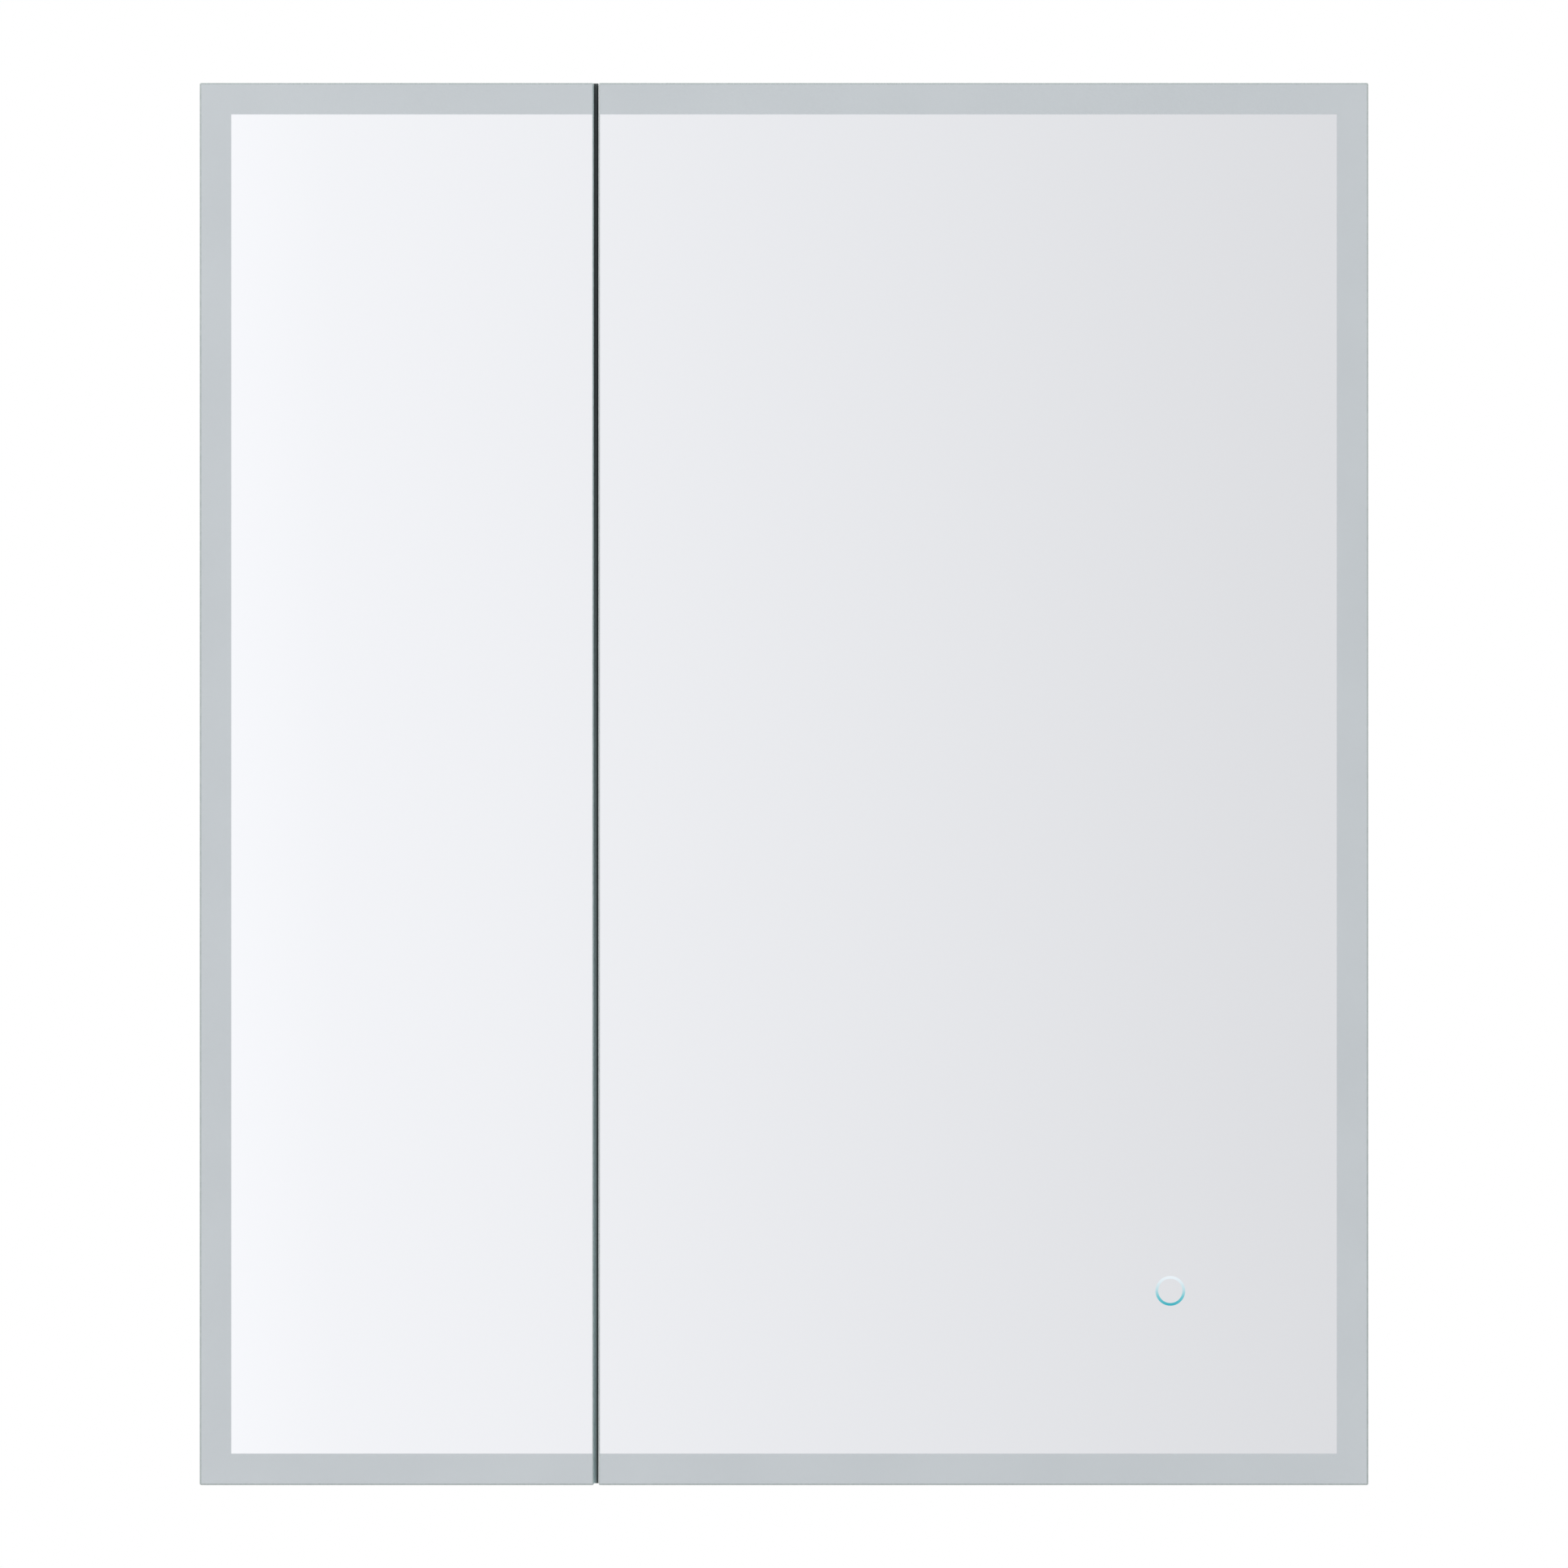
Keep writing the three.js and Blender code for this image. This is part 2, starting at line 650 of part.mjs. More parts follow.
function shelf(place, height) {
  const group = new THREE.Group();
  const end = innerHalfWidth - seam - bracketWidth + bracketGrip;
  const edge = shelfArris;
  const outline = new THREE.Shape();
  outline.moveTo(-end + edge, -shelfSetback - edge);
  outline.lineTo(-end + edge, -shelfSetback - shelfDepth + edge);
  outline.lineTo(end - edge, -shelfSetback - shelfDepth + edge);
  outline.lineTo(end - edge, -shelfSetback - edge);
  outline.closePath();
  const glass = new THREE.ExtrudeGeometry(outline, {
    depth: shelfGlass - 2 * edge,
    bevelThickness: edge,
    bevelSize: edge,
    bevelSegments: 1,
  });
  group.add(part(place + "_shelf_glass", glass.translate(0, 0, -shelfGlass / 2 + edge), clearGlass));
  const bracket = geometryOf(shelfBracket());
  for (const [side, sign] of [["left", 1], ["right", -1]]) {
    const mesh = part(`${place}_shelf_${side}_bracket`, bracket, aluminium);
    mesh.scale.x = sign;
    group.add(mesh);
  }
  group.position.z = height;
  return group;
}

// ---------------------------------------------------------------- bumpers

// Soft pads on the body's front edge, where the two doors close against them.
function bumpers() {
  const group = new THREE.Group();
  const x = -frontWidth / 2 + leftDoorWidth + meetingGap / 2;
  const z = bodyHeight / 2 - panelThickness / 2;
  const back = -bodyDepth - seam;
  for (const [place, sign] of [["upper", 1], ["lower", -1]]) {
    const pad = block(
      [x - bumper.width / 2, back - bumper.thickness, sign * z - bumper.height / 2],
      [x + bumper.width / 2, back, sign * z + bumper.height / 2],
    );
    group.add(part(place + "_door_bumper", pad, clearRubber));
  }
  return group;
}

// ---------------------------------------------------------------- assembly

const endHinge = frontHeight / 2 - endHingeInset;
const leftHinges = { upper: endHinge, lower: -endHinge };
const rightHinges = { upper: endHinge, middle: thirdHingeHeight, lower: -endHinge };

const cabinet = new THREE.Group();
cabinet.add(body(), supply(), bumpers());
for (const [place, height] of Object.entries(shelfHeights)) cabinet.add(shelf(place, height));

const leftSide = new THREE.Group();
leftSide.position.x = -frontWidth / 2;
leftSide.add(door("left", leftDoorWidth, leftHinges), hingeHardware("left", leftHinges));

const rightSide = new THREE.Group();
rightSide.position.x = frontWidth / 2;
rightSide.scale.x = -1;
rightSide.add(door("right", rightDoorWidth, rightHinges), hingeHardware("right", rightHinges));
rightSide.add(wideDoorControls(rightDoorWidth));

cabinet.add(leftSide, rightSide);

export default cabinet;
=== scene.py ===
"""A medicine cabinet with two mirror doors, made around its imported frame.

The doors' panes are silvered glass with an etched border on their outer sides, and the wide door has a lit
touch ring. Behind them are an aluminium body with a mirrored back, glass shelves on sliding brackets, and cup
hinges.
Everything is in metres: +X is to the right, +Y goes into the wall and +Z is up.
"""

import json
import math

import bmesh
import bpy
from mathutils import Matrix, Vector

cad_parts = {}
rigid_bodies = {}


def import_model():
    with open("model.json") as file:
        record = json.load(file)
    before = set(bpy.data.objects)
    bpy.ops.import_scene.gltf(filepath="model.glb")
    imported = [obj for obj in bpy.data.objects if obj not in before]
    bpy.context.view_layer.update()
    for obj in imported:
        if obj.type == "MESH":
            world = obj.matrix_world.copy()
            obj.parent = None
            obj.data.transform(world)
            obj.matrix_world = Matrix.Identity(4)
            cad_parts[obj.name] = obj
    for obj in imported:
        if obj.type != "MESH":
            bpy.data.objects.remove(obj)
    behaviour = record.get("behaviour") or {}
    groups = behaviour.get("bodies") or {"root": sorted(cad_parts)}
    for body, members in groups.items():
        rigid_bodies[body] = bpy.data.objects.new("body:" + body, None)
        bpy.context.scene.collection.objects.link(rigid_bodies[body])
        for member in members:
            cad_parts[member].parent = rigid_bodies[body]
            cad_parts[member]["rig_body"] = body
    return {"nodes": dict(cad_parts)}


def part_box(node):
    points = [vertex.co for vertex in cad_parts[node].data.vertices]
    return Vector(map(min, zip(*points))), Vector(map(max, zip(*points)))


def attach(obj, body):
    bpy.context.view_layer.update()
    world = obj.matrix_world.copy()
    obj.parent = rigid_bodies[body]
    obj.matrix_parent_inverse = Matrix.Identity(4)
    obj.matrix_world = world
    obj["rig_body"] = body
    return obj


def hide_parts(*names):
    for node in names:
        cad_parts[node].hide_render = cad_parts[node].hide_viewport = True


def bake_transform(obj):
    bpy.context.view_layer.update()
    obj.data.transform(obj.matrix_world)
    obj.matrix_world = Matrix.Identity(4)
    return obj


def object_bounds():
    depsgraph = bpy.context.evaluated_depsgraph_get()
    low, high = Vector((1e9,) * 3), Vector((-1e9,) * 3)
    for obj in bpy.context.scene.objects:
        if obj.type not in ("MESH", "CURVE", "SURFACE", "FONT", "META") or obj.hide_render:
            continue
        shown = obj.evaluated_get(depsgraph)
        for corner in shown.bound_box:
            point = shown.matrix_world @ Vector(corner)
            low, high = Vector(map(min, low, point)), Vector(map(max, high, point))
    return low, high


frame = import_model()
cad_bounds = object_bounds()

MM = 0.001
Y, Z = 1, 2
MERGE = 0.001 * MM  # points closer than this are one point
FACES_AXIS = 0.99  # a face looks along an axis when its normal has this much of it
MEETING_SIDE = 0.3  # a pane's edge face is on the meeting side when its normal has this much of inward X
LEFT, RIGHT = "left", "right"
HINGES = {LEFT: ("upper", "lower"), RIGHT: ("upper", "middle", "lower")}
SHELVES = ("upper", "middle", "lower")

# front
BORDER = 20.6 * MM  # etched border, from the pane's edge
ARRIS = 1.0 * MM  # ground edge of a pane
RING_FROM_EDGE = 129.1 * MM  # touch ring's centre, from the wide door's hinge edge
RING_FROM_BOTTOM = 126.7 * MM
RING_RADIUS = 9.7 * MM
RING_LINE = 1.8 * MM
RING_PROUD = 0.06 * MM
RING_ARRIS = 0.08 * MM
TAPE_WIDTH = 9 * MM
TAPE_INSET = 1.4 * MM  # from the pane's edge
SEAL_PROUD = 3.85 * MM  # meeting seal, from the left door's frame into the gap between the doors
SEAL_DEPTH = 8.5 * MM
SEAL_FOOT = 0.8 * MM  # from the seal's lower end to the pane's bottom edge
SEAL_ROUND = 1.2 * MM  # of the seal's tip
SEAL_GLOW_FADE = (0.5 * MM, 1.8 * MM)  # its painted pale green glow fades out between these, from the left pane's edge

# screws: the heads' radii are in millimetres
COVER_SCREW, PLATE_SCREW, CUP_SCREW, BRACKET_SCREW = 3.2, 3.6, 2.9, 2.4
COVER_SCREW_INSET = 12 * MM  # from the driver cover's end
PLATE_SCREW_INSET = 7 * MM  # from the hinge plate's end
CUP_SCREW_INSET = 6.5 * MM  # from the hinge cup's end
ARM_SCREW_INSETS = (8 * MM, 22 * MM)  # from the hinge plate's rear end
BRACKET_SCREW_INSET = 6.5 * MM  # from the bracket's inner face
BRACKET_SCREW_SHARES = (0.2, 0.8)  # of the bracket's depth
WALL_SCREW_HALF_SPACING = 203.2 * MM
WALL_SCREW_INSET = 32 * MM  # from the body's inner top and bottom
SHEET_CLEARANCE = 0.3 * MM  # round the back panel, and in front of it

# driver cover's louvres
LOUVRE_HALF_LENGTH = 9 * MM
LOUVRE_HALF_HEIGHT = 1.1 * MM
LOUVRE_SUNK = 0.6 * MM
LOUVRE_PROUD = 1.4 * MM
LOUVRE_ROUND = 0.55 * MM
LOUVRE_COLUMNS, LOUVRE_COLUMN_PITCH = 8, 24 * MM
LOUVRE_ROWS, LOUVRE_ROW_PITCH = 4, 6 * MM
LOUVRE_FOOT = 10 * MM  # from the cover's lower edge to the lowest row

# light-emitting packages
LED_HALF_LENGTH = 1.5 * MM
LED_HALF_WIDTH = 1.4 * MM
LED_HEIGHT = 0.8 * MM
LED_RIM = 0.35 * MM
LED_PITCH = 16.6 * MM
LED_BOARD = 1.0 * MM  # the strip's thickness

# door leads
SEAM = 0.3 * MM  # between pieces that touch
LEAD_RADIUS = 1.6 * MM
LEAD_BEND = 6.4 * MM  # the measure that the route's points are given in
LEAD_BODY_INSET = 11 * MM  # from the body's front edge
LEAD_DOOR_INSET = 27 * MM  # from the door's hinge edge

# camera
CAMERA_DISTANCE = 6.0  # in front of the doors
FRONT_SHARE = 0.7453  # of the view's width, taken up by the front
SENSOR = 36.0  # millimetres

# studio
FLOOR_RADIUS = 2.3
FLOOR_DROP = 0.32  # under the cabinet
FLOOR_FADE = 1.2  # radius at which the floor starts to fade
CARD_HALF_SIZE = 1.9
CARD_DISTANCE = 3.0  # in front of the doors

front_low, front_high = cad_bounds
front_width = front_high.x - front_low.x
front_y = front_low.y
meeting_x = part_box("left_front_mirror")[1].x


# ---------------------------------------------------------------- shader maths


class Value:
    """A shader socket that can be used in sums."""

    def __init__(self, finish, socket):
        self.finish = finish
        self.socket = socket

    def _math(self, operation, first, second):
        return self.finish.node("ShaderNodeMath", {"operation": operation}, {0: first, 1: second})

    def __add__(self, other):
        return self._math("ADD", self, other)

    def __sub__(self, other):
        return self._math("SUBTRACT", self, other)

    def __mul__(self, other):
        return self._math("MULTIPLY", self, other)


class Finish:
    """The nodes of a material or of the world."""

    def __init__(self, name, owner=None):
        self.owner = owner or bpy.data.materials.new(name)
        self.owner.use_nodes = True
        self.tree = self.owner.node_tree
        self.tree.nodes.clear()

    def node(self, kind, settings=None, inputs=None, output=0):
        made = self.tree.nodes.new(kind)
        for key, value in (settings or {}).items():
            if key == "stops":
                self._set_stops(made.color_ramp, value)
            else:
                setattr(made, key, value)
        for key, value in (inputs or {}).items():
            if isinstance(value, Value):
                self.tree.links.new(value.socket, made.inputs[key])
            else:
                made.inputs[key].default_value = value
        return Value(self, made.outputs[output]) if made.outputs else made

    def _set_stops(self, ramp, stops):
        while len(ramp.elements) < len(stops):
            ramp.elements.new(0.5)
        for element, (position, colour) in zip(ramp.elements, stops):
            element.position = position
            element.color = colour

    def place(self):
        """Object coordinates, in metres in the cabinet's frame."""
        return self.node("ShaderNodeTexCoord", output="Object")

    def axis(self, name):
        return self.node("ShaderNodeSeparateXYZ", {}, {0: self.place()}, output=name)

    def noise(self, per_metre, stretch=(1, 1, 1), detail=3.0, roughness=0.5):
        """Noise with that many cells in a metre along each axis where stretch is 1."""
        mapped = self.node("ShaderNodeMapping", {}, {"Vector": self.place(), "Scale": stretch})
        settings = {"Vector": mapped, "Scale": per_metre, "Detail": detail, "Roughness": roughness}
        return self.node("ShaderNodeTexNoise", {}, settings)

    def size_of(self, value):
        return self.node("ShaderNodeMath", {"operation": "ABSOLUTE"}, {0: value})

    def between(self, value, low, high, to_low=0.0, to_high=1.0, smooth=False):
        """value, taken from low..high to to_low..to_high and held at the ends."""
        settings = {"interpolation_type": "SMOOTHSTEP" if smooth else "LINEAR"}
        inputs = {0: value, 1: low, 2: high, 3: to_low, 4: to_high}
        return self.node("ShaderNodeMapRange", settings, inputs)

    def tint(self, factor, first, second):
        return self.node("ShaderNodeMix", {"data_type": "RGBA"}, {0: factor, 6: first, 7: second}, output=2)

    def bump(self, height, depth, strength):
        inputs = {"Height": height, "Distance": depth, "Strength": strength}
        return self.node("ShaderNodeBump", {}, inputs)

    def surface(self, **sockets):
        """Ends the material in a Principled surface; a socket's name is given with _ for each space."""
        inputs = {name.replace("_", " "): value for name, value in sockets.items()}
        shader = self.node("ShaderNodeBsdfPrincipled", {}, inputs)
        self.node("ShaderNodeOutputMaterial", {}, {"Surface": shader})
        return self.owner


def rgb(red, green, blue):
    return (red, green, blue, 1.0)


def grey(level):
    return rgb(level, level, level)


# ---------------------------------------------------------------- finishes


def silvered_glass(name, silver_share):
    """Silvered glass; what isn't silver is a film of dust and wiping marks."""
    f = Finish(name)
    haze = f.between(f.noise(9, detail=5), 0.35, 0.75, 0.012, 0.022)
    colour = f.tint(f.noise(3), rgb(0.925, 0.935, 0.965), rgb(0.935, 0.945, 0.97))
    return f.surface(Base_Color=colour, Metallic=silver_share, Roughness=haze)


def etched_border():
    f = Finish("etched_border")
    grain = f.noise(2600, detail=2)
    cloud = f.noise(14, detail=2)
    shade = f.between(grain * 0.5 + cloud * 0.5, 0.35, 0.65)
    colour = f.tint(shade, rgb(0.575, 0.612, 0.638), rgb(0.61, 0.648, 0.674))
    rough = f.between(grain, 0.3, 0.7, 0.42, 0.5)
    return f.surface(Base_Color=colour, Roughness=rough, IOR=1.5, Normal=f.bump(grain, 0.02 * MM, 0.25))


def ground_edge(name, dark, light):
    """Ground and polished edge of float glass, green from its iron."""
    f = Finish(name)
    streak = f.noise(260, stretch=(6, 6, 1), detail=3)
    colour = f.tint(f.between(streak, 0.35, 0.65), dark, light)
    rough = f.between(streak, 0.3, 0.7, 0.14, 0.26)
    return f.surface(Base_Color=colour, Roughness=rough, IOR=1.52, Specular_IOR_Level=0.8)


def mirror_backing():
    """Grey protective lacquer on the back of silvered glass."""
    f = Finish("mirror_backing")
    peel = f.noise(420, detail=3)
    colour = f.tint(f.noise(25, detail=4), rgb(0.24, 0.26, 0.27), rgb(0.30, 0.32, 0.33))
    return f.surface(Base_Color=colour, Roughness=0.5, Normal=f.bump(peel, 0.05 * MM, 0.4))


def anodised(name, level, along):
    """Satin anodised aluminium, brushed along one axis."""
    f = Finish(name)
    stretch = [38.0, 38.0, 38.0]
    stretch["xyz".index(along)] = 0.35
    brush = f.noise(48, stretch=stretch, detail=5, roughness=0.65)
    cloud = f.noise(7, detail=3)
    mix = f.between(brush * 0.7 + cloud * 0.3, 0.3, 0.7)
    dark = rgb(level * 0.93, level * 0.94, level * 0.955)
    colour = f.tint(mix, dark, rgb(level, level * 1.01, level * 1.025))
    rough = f.between(brush, 0.25, 0.75, 0.27, 0.43)
    return f.surface(Base_Color=colour, Metallic=1.0, Roughness=rough, Normal=f.bump(brush, 0.03 * MM, 0.35))


def mill_sheet():
    f = Finish("mill_sheet")
    rolling = f.noise(30, stretch=(26, 1, 0.4), detail=5, roughness=0.6)
    stain = f.noise(11, detail=6, roughness=0.6)
    mix = f.between(stain * 0.5 + rolling * 0.5, 0.3, 0.7)
    colour = f.tint(mix, rgb(0.57, 0.58, 0.59), rgb(0.66, 0.67, 0.68))
    rough = f.between(rolling, 0.3, 0.7, 0.36, 0.5)
    return f.surface(Base_Color=colour, Metallic=1.0, Roughness=rough, Normal=f.bump(rolling, 0.05 * MM, 0.4))


def nickel_plate():
    f = Finish("nickel_plate")
    draw = f.noise(300, stretch=(1, 1, 0.25), detail=4)
    colour = f.tint(f.noise(60), rgb(0.66, 0.65, 0.62), rgb(0.76, 0.745, 0.715))
    rough = f.between(draw, 0.3, 0.7, 0.15, 0.29)
    return f.surface(Base_Color=colour, Metallic=1.0, Roughness=rough, Normal=f.bump(draw, 0.02 * MM, 0.3))


def plated_casting():
    f = Finish("plated_casting")
    pebble = f.noise(2200, detail=3)
    colour = f.tint(f.noise(110, detail=3), rgb(0.50, 0.505, 0.51), rgb(0.64, 0.64, 0.635))
    rough = f.between(pebble, 0.3, 0.7, 0.28, 0.46)
    return f.surface(Base_Color=colour, Metallic=1.0, Roughness=rough, Normal=f.bump(pebble, 0.03 * MM, 0.3))


def moulded(name, dark, light, rough):
    """Spark-textured moulded plastic."""
    f = Finish(name)
    spark = f.noise(1500, detail=3, roughness=0.6)
    colour = f.tint(f.between(f.noise(40, detail=4), 0.3, 0.7), dark, light)
    shine = f.between(spark, 0.3, 0.7, rough - 0.06, rough + 0.08)
    return f.surface(Base_Color=colour, Roughness=shine, Normal=f.bump(spark, 0.06 * MM, 0.4))


def clear_pad():
    f = Finish("clear_pad")
    cloud = f.noise(300, detail=3)
    colour = f.tint(cloud, rgb(0.80, 0.82, 0.82), rgb(0.92, 0.93, 0.93))
    return f.surface(Base_Color=colour, Roughness=0.22, IOR=1.45, Transmission_Weight=0.55)


def shelf_glass():
    f = Finish("shelf_glass")
    colour = f.tint(f.noise(4), rgb(0.93, 0.975, 0.955), rgb(0.955, 0.985, 0.97))
    return f.surface(Base_Color=colour, Roughness=0.01, IOR=1.52, Transmission_Weight=1.0)


def flexible_sheath():
    f = Finish("flexible_sheath")
    rub = f.noise(500, detail=4)
    colour = f.tint(rub, rgb(0.70, 0.70, 0.67), rgb(0.82, 0.82, 0.79))
    return f.surface(Base_Color=colour, Roughness=0.5, Normal=f.bump(rub, 0.05 * MM, 0.35))


def foam_tape():
    f = Finish("foam_tape")
    cells = f.node("ShaderNodeTexVoronoi", {}, {"Vector": f.place(), "Scale": 2200.0})
    colour = f.tint(cells, grey(0.012), grey(0.045))
    return f.surface(Base_Color=colour, Roughness=0.85, Normal=f.bump(cells, 0.08 * MM, 0.6))


def seal_rubber():
    """Black rubber along the left door, with painted light on it: paler and greener the lower it is, and a
    painted pale green glow beside the left pane's edge.
    """
    f = Finish("seal_rubber")
    grain = f.noise(900, stretch=(1, 1, 0.08), detail=4)
    # Painted light: the rubber is made paler and greener towards the bottom.
    painted_light_below = f.between(f.axis("Z"), 0.25, -0.3)
    # Painted light: a pale green glow beside the left pane's edge, which shows only where the lower part is
    # painted paler.
    painted_edge_glow = f.between(f.axis("X"), meeting_x + SEAL_GLOW_FADE[0], meeting_x + SEAL_GLOW_FADE[1], 1.0, 0.0)
    body = f.tint(painted_light_below, rgb(0.055, 0.07, 0.071), rgb(0.125, 0.15, 0.15))
    colour = f.tint(painted_edge_glow * painted_light_below, body, rgb(0.50, 0.64, 0.65))
    rough = f.between(grain, 0.3, 0.7, 0.5, 0.6)
    return f.surface(Base_Color=colour, Roughness=rough, Normal=f.bump(grain, 0.04 * MM, 0.4))


def solder_mask():
    """White solder mask over copper tracks, which stand up a little and show through."""
    f = Finish("solder_mask")
    inputs = {"Vector": f.place(), "Scale": 240.0}
    track = f.node("ShaderNodeTexWave", {"bands_direction": "DIAGONAL"}, inputs)
    edge = f.between(track, 0.45, 0.55)
    colour = f.tint(edge, rgb(0.83, 0.84, 0.82), rgb(0.90, 0.905, 0.89))
    return f.surface(Base_Color=colour, Roughness=0.38, Normal=f.bump(edge, 0.03 * MM, 0.5))


def phosphor():
    f = Finish("phosphor")
    grain = f.noise(4000, detail=2)
    colour = f.tint(grain, rgb(0.85, 0.72, 0.22), rgb(0.92, 0.82, 0.35))
    return f.surface(Base_Color=colour, Roughness=0.4)


def opal_acrylic():
    """Acrylic with a grid of printed dots that let the light out."""
    f = Finish("opal_acrylic")
    pitch = 2 * math.pi / (2.5 * MM)
    waves = [f.node("ShaderNodeMath", {"operation": "SINE"}, {0: f.axis(name) * pitch}) for name in "XZ"]
    dots = f.between(waves[0] * waves[1], 0.35, 0.5)
    colour = f.tint(dots, rgb(0.80, 0.83, 0.84), rgb(0.94, 0.95, 0.95))
    return f.surface(Base_Color=colour, Roughness=0.25, IOR=1.49, Normal=f.bump(dots, 0.04 * MM, 0.5))


def heater_film():
    """Amber film with a heating track that runs to and fro across it."""
    f = Finish("heater_film")
    rows = f.node("ShaderNodeMath", {"operation": "SINE"}, {0: f.axis("Z") * (2 * math.pi / (12 * MM))})
    track = f.between(rows, 0.55, 0.7)
    colour = f.tint(track, rgb(0.42, 0.22, 0.055), rgb(0.16, 0.085, 0.03))
    return f.surface(Base_Color=colour, Roughness=0.32, Normal=f.bump(track, 0.05 * MM, 0.6))


def ring_light(centre_z):
    """White at the top of the ring and cyan at its foot."""
    f = Finish("ring_light")
    height = f.between(f.axis("Z"), centre_z - RING_RADIUS, centre_z + RING_RADIUS)
    stops = [
        (0.0, rgb(0.0, 0.38, 0.47)),
        (0.3, rgb(0.13, 0.53, 0.60)),
        (0.55, rgb(0.49, 0.70, 0.75)),
        (0.8, rgb(0.70, 0.80, 0.85)),
        (1.0, rgb(0.79, 0.85, 0.90)),
    ]
    colour = f.node("ShaderNodeValToRGB", {"stops": stops}, {0: height})
    return f.surface(Base_Color=grey(0.02), Roughness=0.3, Emission_Color=colour, Emission_Strength=1.0)


def studio_floor():
    f = Finish("studio_floor")
    fleck = f.noise(60, detail=5)
    colour = f.tint(fleck, grey(0.68), grey(0.72))
    far = f.node("ShaderNodeVectorMath", {"operation": "LENGTH"}, {0: f.place()}, output="Value")
    rim = f.between(far, FLOOR_FADE, FLOOR_RADIUS, 1.0, 0.0, smooth=True)
    return f.surface(Base_Color=colour, Roughness=0.7, Normal=f.bump(fleck, 0.2 * MM, 0.2), Alpha=rim)


wide_low, wide_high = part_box("right_front_mirror")
ring_centre = Vector((wide_high.x - RING_FROM_EDGE, front_y, wide_low.z + RING_FROM_BOTTOM))

silver = silvered_glass("silvered_glass", 1.0)
inner_silver = silvered_glass("inner_silver", 0.9)
border = etched_border()
glass_edge = ground_edge("glass_edge", rgb(0.37, 0.43, 0.425), rgb(0.47, 0.52, 0.515))
# Painted shade and painted highlight: a darker, greener copy and a much paler copy of the glass edge, for the
# left and right meeting edges
painted_shade_edge = ground_edge("painted_shade_edge", rgb(0.31, 0.41, 0.42), rgb(0.39, 0.50, 0.51))
painted_light_edge = ground_edge("painted_light_edge", rgb(0.88, 0.905, 0.90), rgb(0.93, 0.95, 0.945))
backing = mirror_backing()
body_metal = {axis: anodised("body_anodised_" + axis, 0.70, axis) for axis in "xz"}
frame_metal = {axis: anodised("frame_anodised_" + axis, 0.64, axis) for axis in "xz"}
bracket_metal = anodised("bracket_anodised", 0.72, "y")
sheet_metal = mill_sheet()
nickel = nickel_plate()
casting = plated_casting()
white_moulding = moulded("white_moulding", grey(0.76), grey(0.82), 0.42)
grey_moulding = moulded("grey_moulding", rgb(0.33, 0.35, 0.36), rgb(0.40, 0.42, 0.43), 0.48)
dark_moulding = moulded("dark_moulding", grey(0.035), grey(0.06), 0.45)
pad_clear = clear_pad()
clear_shelf = shelf_glass()
sheath = flexible_sheath()
tape_black = foam_tape()
seal_black = seal_rubber()
board_white = solder_mask()
led_yellow = phosphor()
opal = opal_acrylic()
film_amber = heater_film()
ring_glow = ring_light(ring_centre.z)


# ---------------------------------------------------------------- making pieces

ROUNDED = 32  # degrees: an edge that turns by less is shaded smooth
FLAT = 8  # degrees: so a pane's edges are all shaded sharp


def as_piece(name, bm, body, materials, stands_for=(), sharp=ROUNDED):
    """The finished mesh as an object that rides on a body.

    Where it has rounded edges, the flat faces beside them are still shaded flat.
    """
    mesh = bpy.data.meshes.new(name)
    bm.to_mesh(mesh)
    bm.free()
    for material in materials:
        mesh.materials.append(material)
    mesh.shade_smooth()
    mesh.set_sharp_from_angle(angle=math.radians(sharp))
    piece = bpy.data.objects.new(name, mesh)
    bpy.context.scene.collection.objects.link(piece)
    if sharp > FLAT:
        piece.modifiers.new("flat_faces", "WEIGHTED_NORMAL").keep_sharp = True
    if body:
        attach(piece, body)
    if stands_for:
        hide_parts(*stands_for)
    return piece


def body_of(node):
    return frame["nodes"][node]["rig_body"]


def inward_of(side):
    """The sign of X from a door's hinge edge towards the cabinet's middle."""
    return 1 if side == LEFT else -1


def on_foot_of(low, high):
    """The place of something made on the origin that stands in the middle of a box's lower face."""
    return Matrix.Translation(((low.x + high.x) / 2, (low.y + high.y) / 2, low.z))


def looks_along(face, axis, sign):
    return face.normal[axis] * sign > FACES_AXIS


def lies_across(face, axis):
    return abs(face.normal[axis]) > FACES_AXIS


def bevelled(bm, edges, radius, segments):
    bmesh.ops.bevel(
        bm,
        geom=edges,
        offset=radius,
        offset_type="OFFSET",
        segments=segments,
        profile=0.5,
        affect="EDGES",
        clamp_overlap=True,
        material=-1,
    )


def soften(bm, radius, segments=2, least_angle=28):
    """Rounds the edges that turn by more than least_angle degrees."""
    turning = [e for e in bm.edges if len(e.link_faces) == 2]
    bevelled(bm, [e for e in turning if e.calc_face_angle() > math.radians(least_angle)], radius, segments)


def copy_of(node):
    """A CAD node's mesh with its triangles joined into whole faces."""
    bm = bmesh.new()
    bm.from_mesh(frame["nodes"][node].data)
    bmesh.ops.remove_doubles(bm, verts=bm.verts, dist=0.005 * MM)
    bmesh.ops.dissolve_limit(bm, angle_limit=math.radians(1), verts=bm.verts, edges=bm.edges)
    for face in bm.faces:
        face.material_index = 0
    return bm


def refined(node, radius, material, segments=2):
    """A CAD node with its edges broken as a maker leaves them."""
    bm = copy_of(node)
    soften(bm, radius * MM, segments)
    return as_piece(node + "_finish", bm, body_of(node), [material], [node])


def box_shape(low, high):
    bm = bmesh.new()
    bmesh.ops.create_cube(bm, size=1)
    low, high = Vector(low), Vector(high)
    bmesh.ops.scale(bm, vec=high - low, verts=bm.verts)
    bmesh.ops.translate(bm, vec=(low + high) / 2, verts=bm.verts)
    return bm


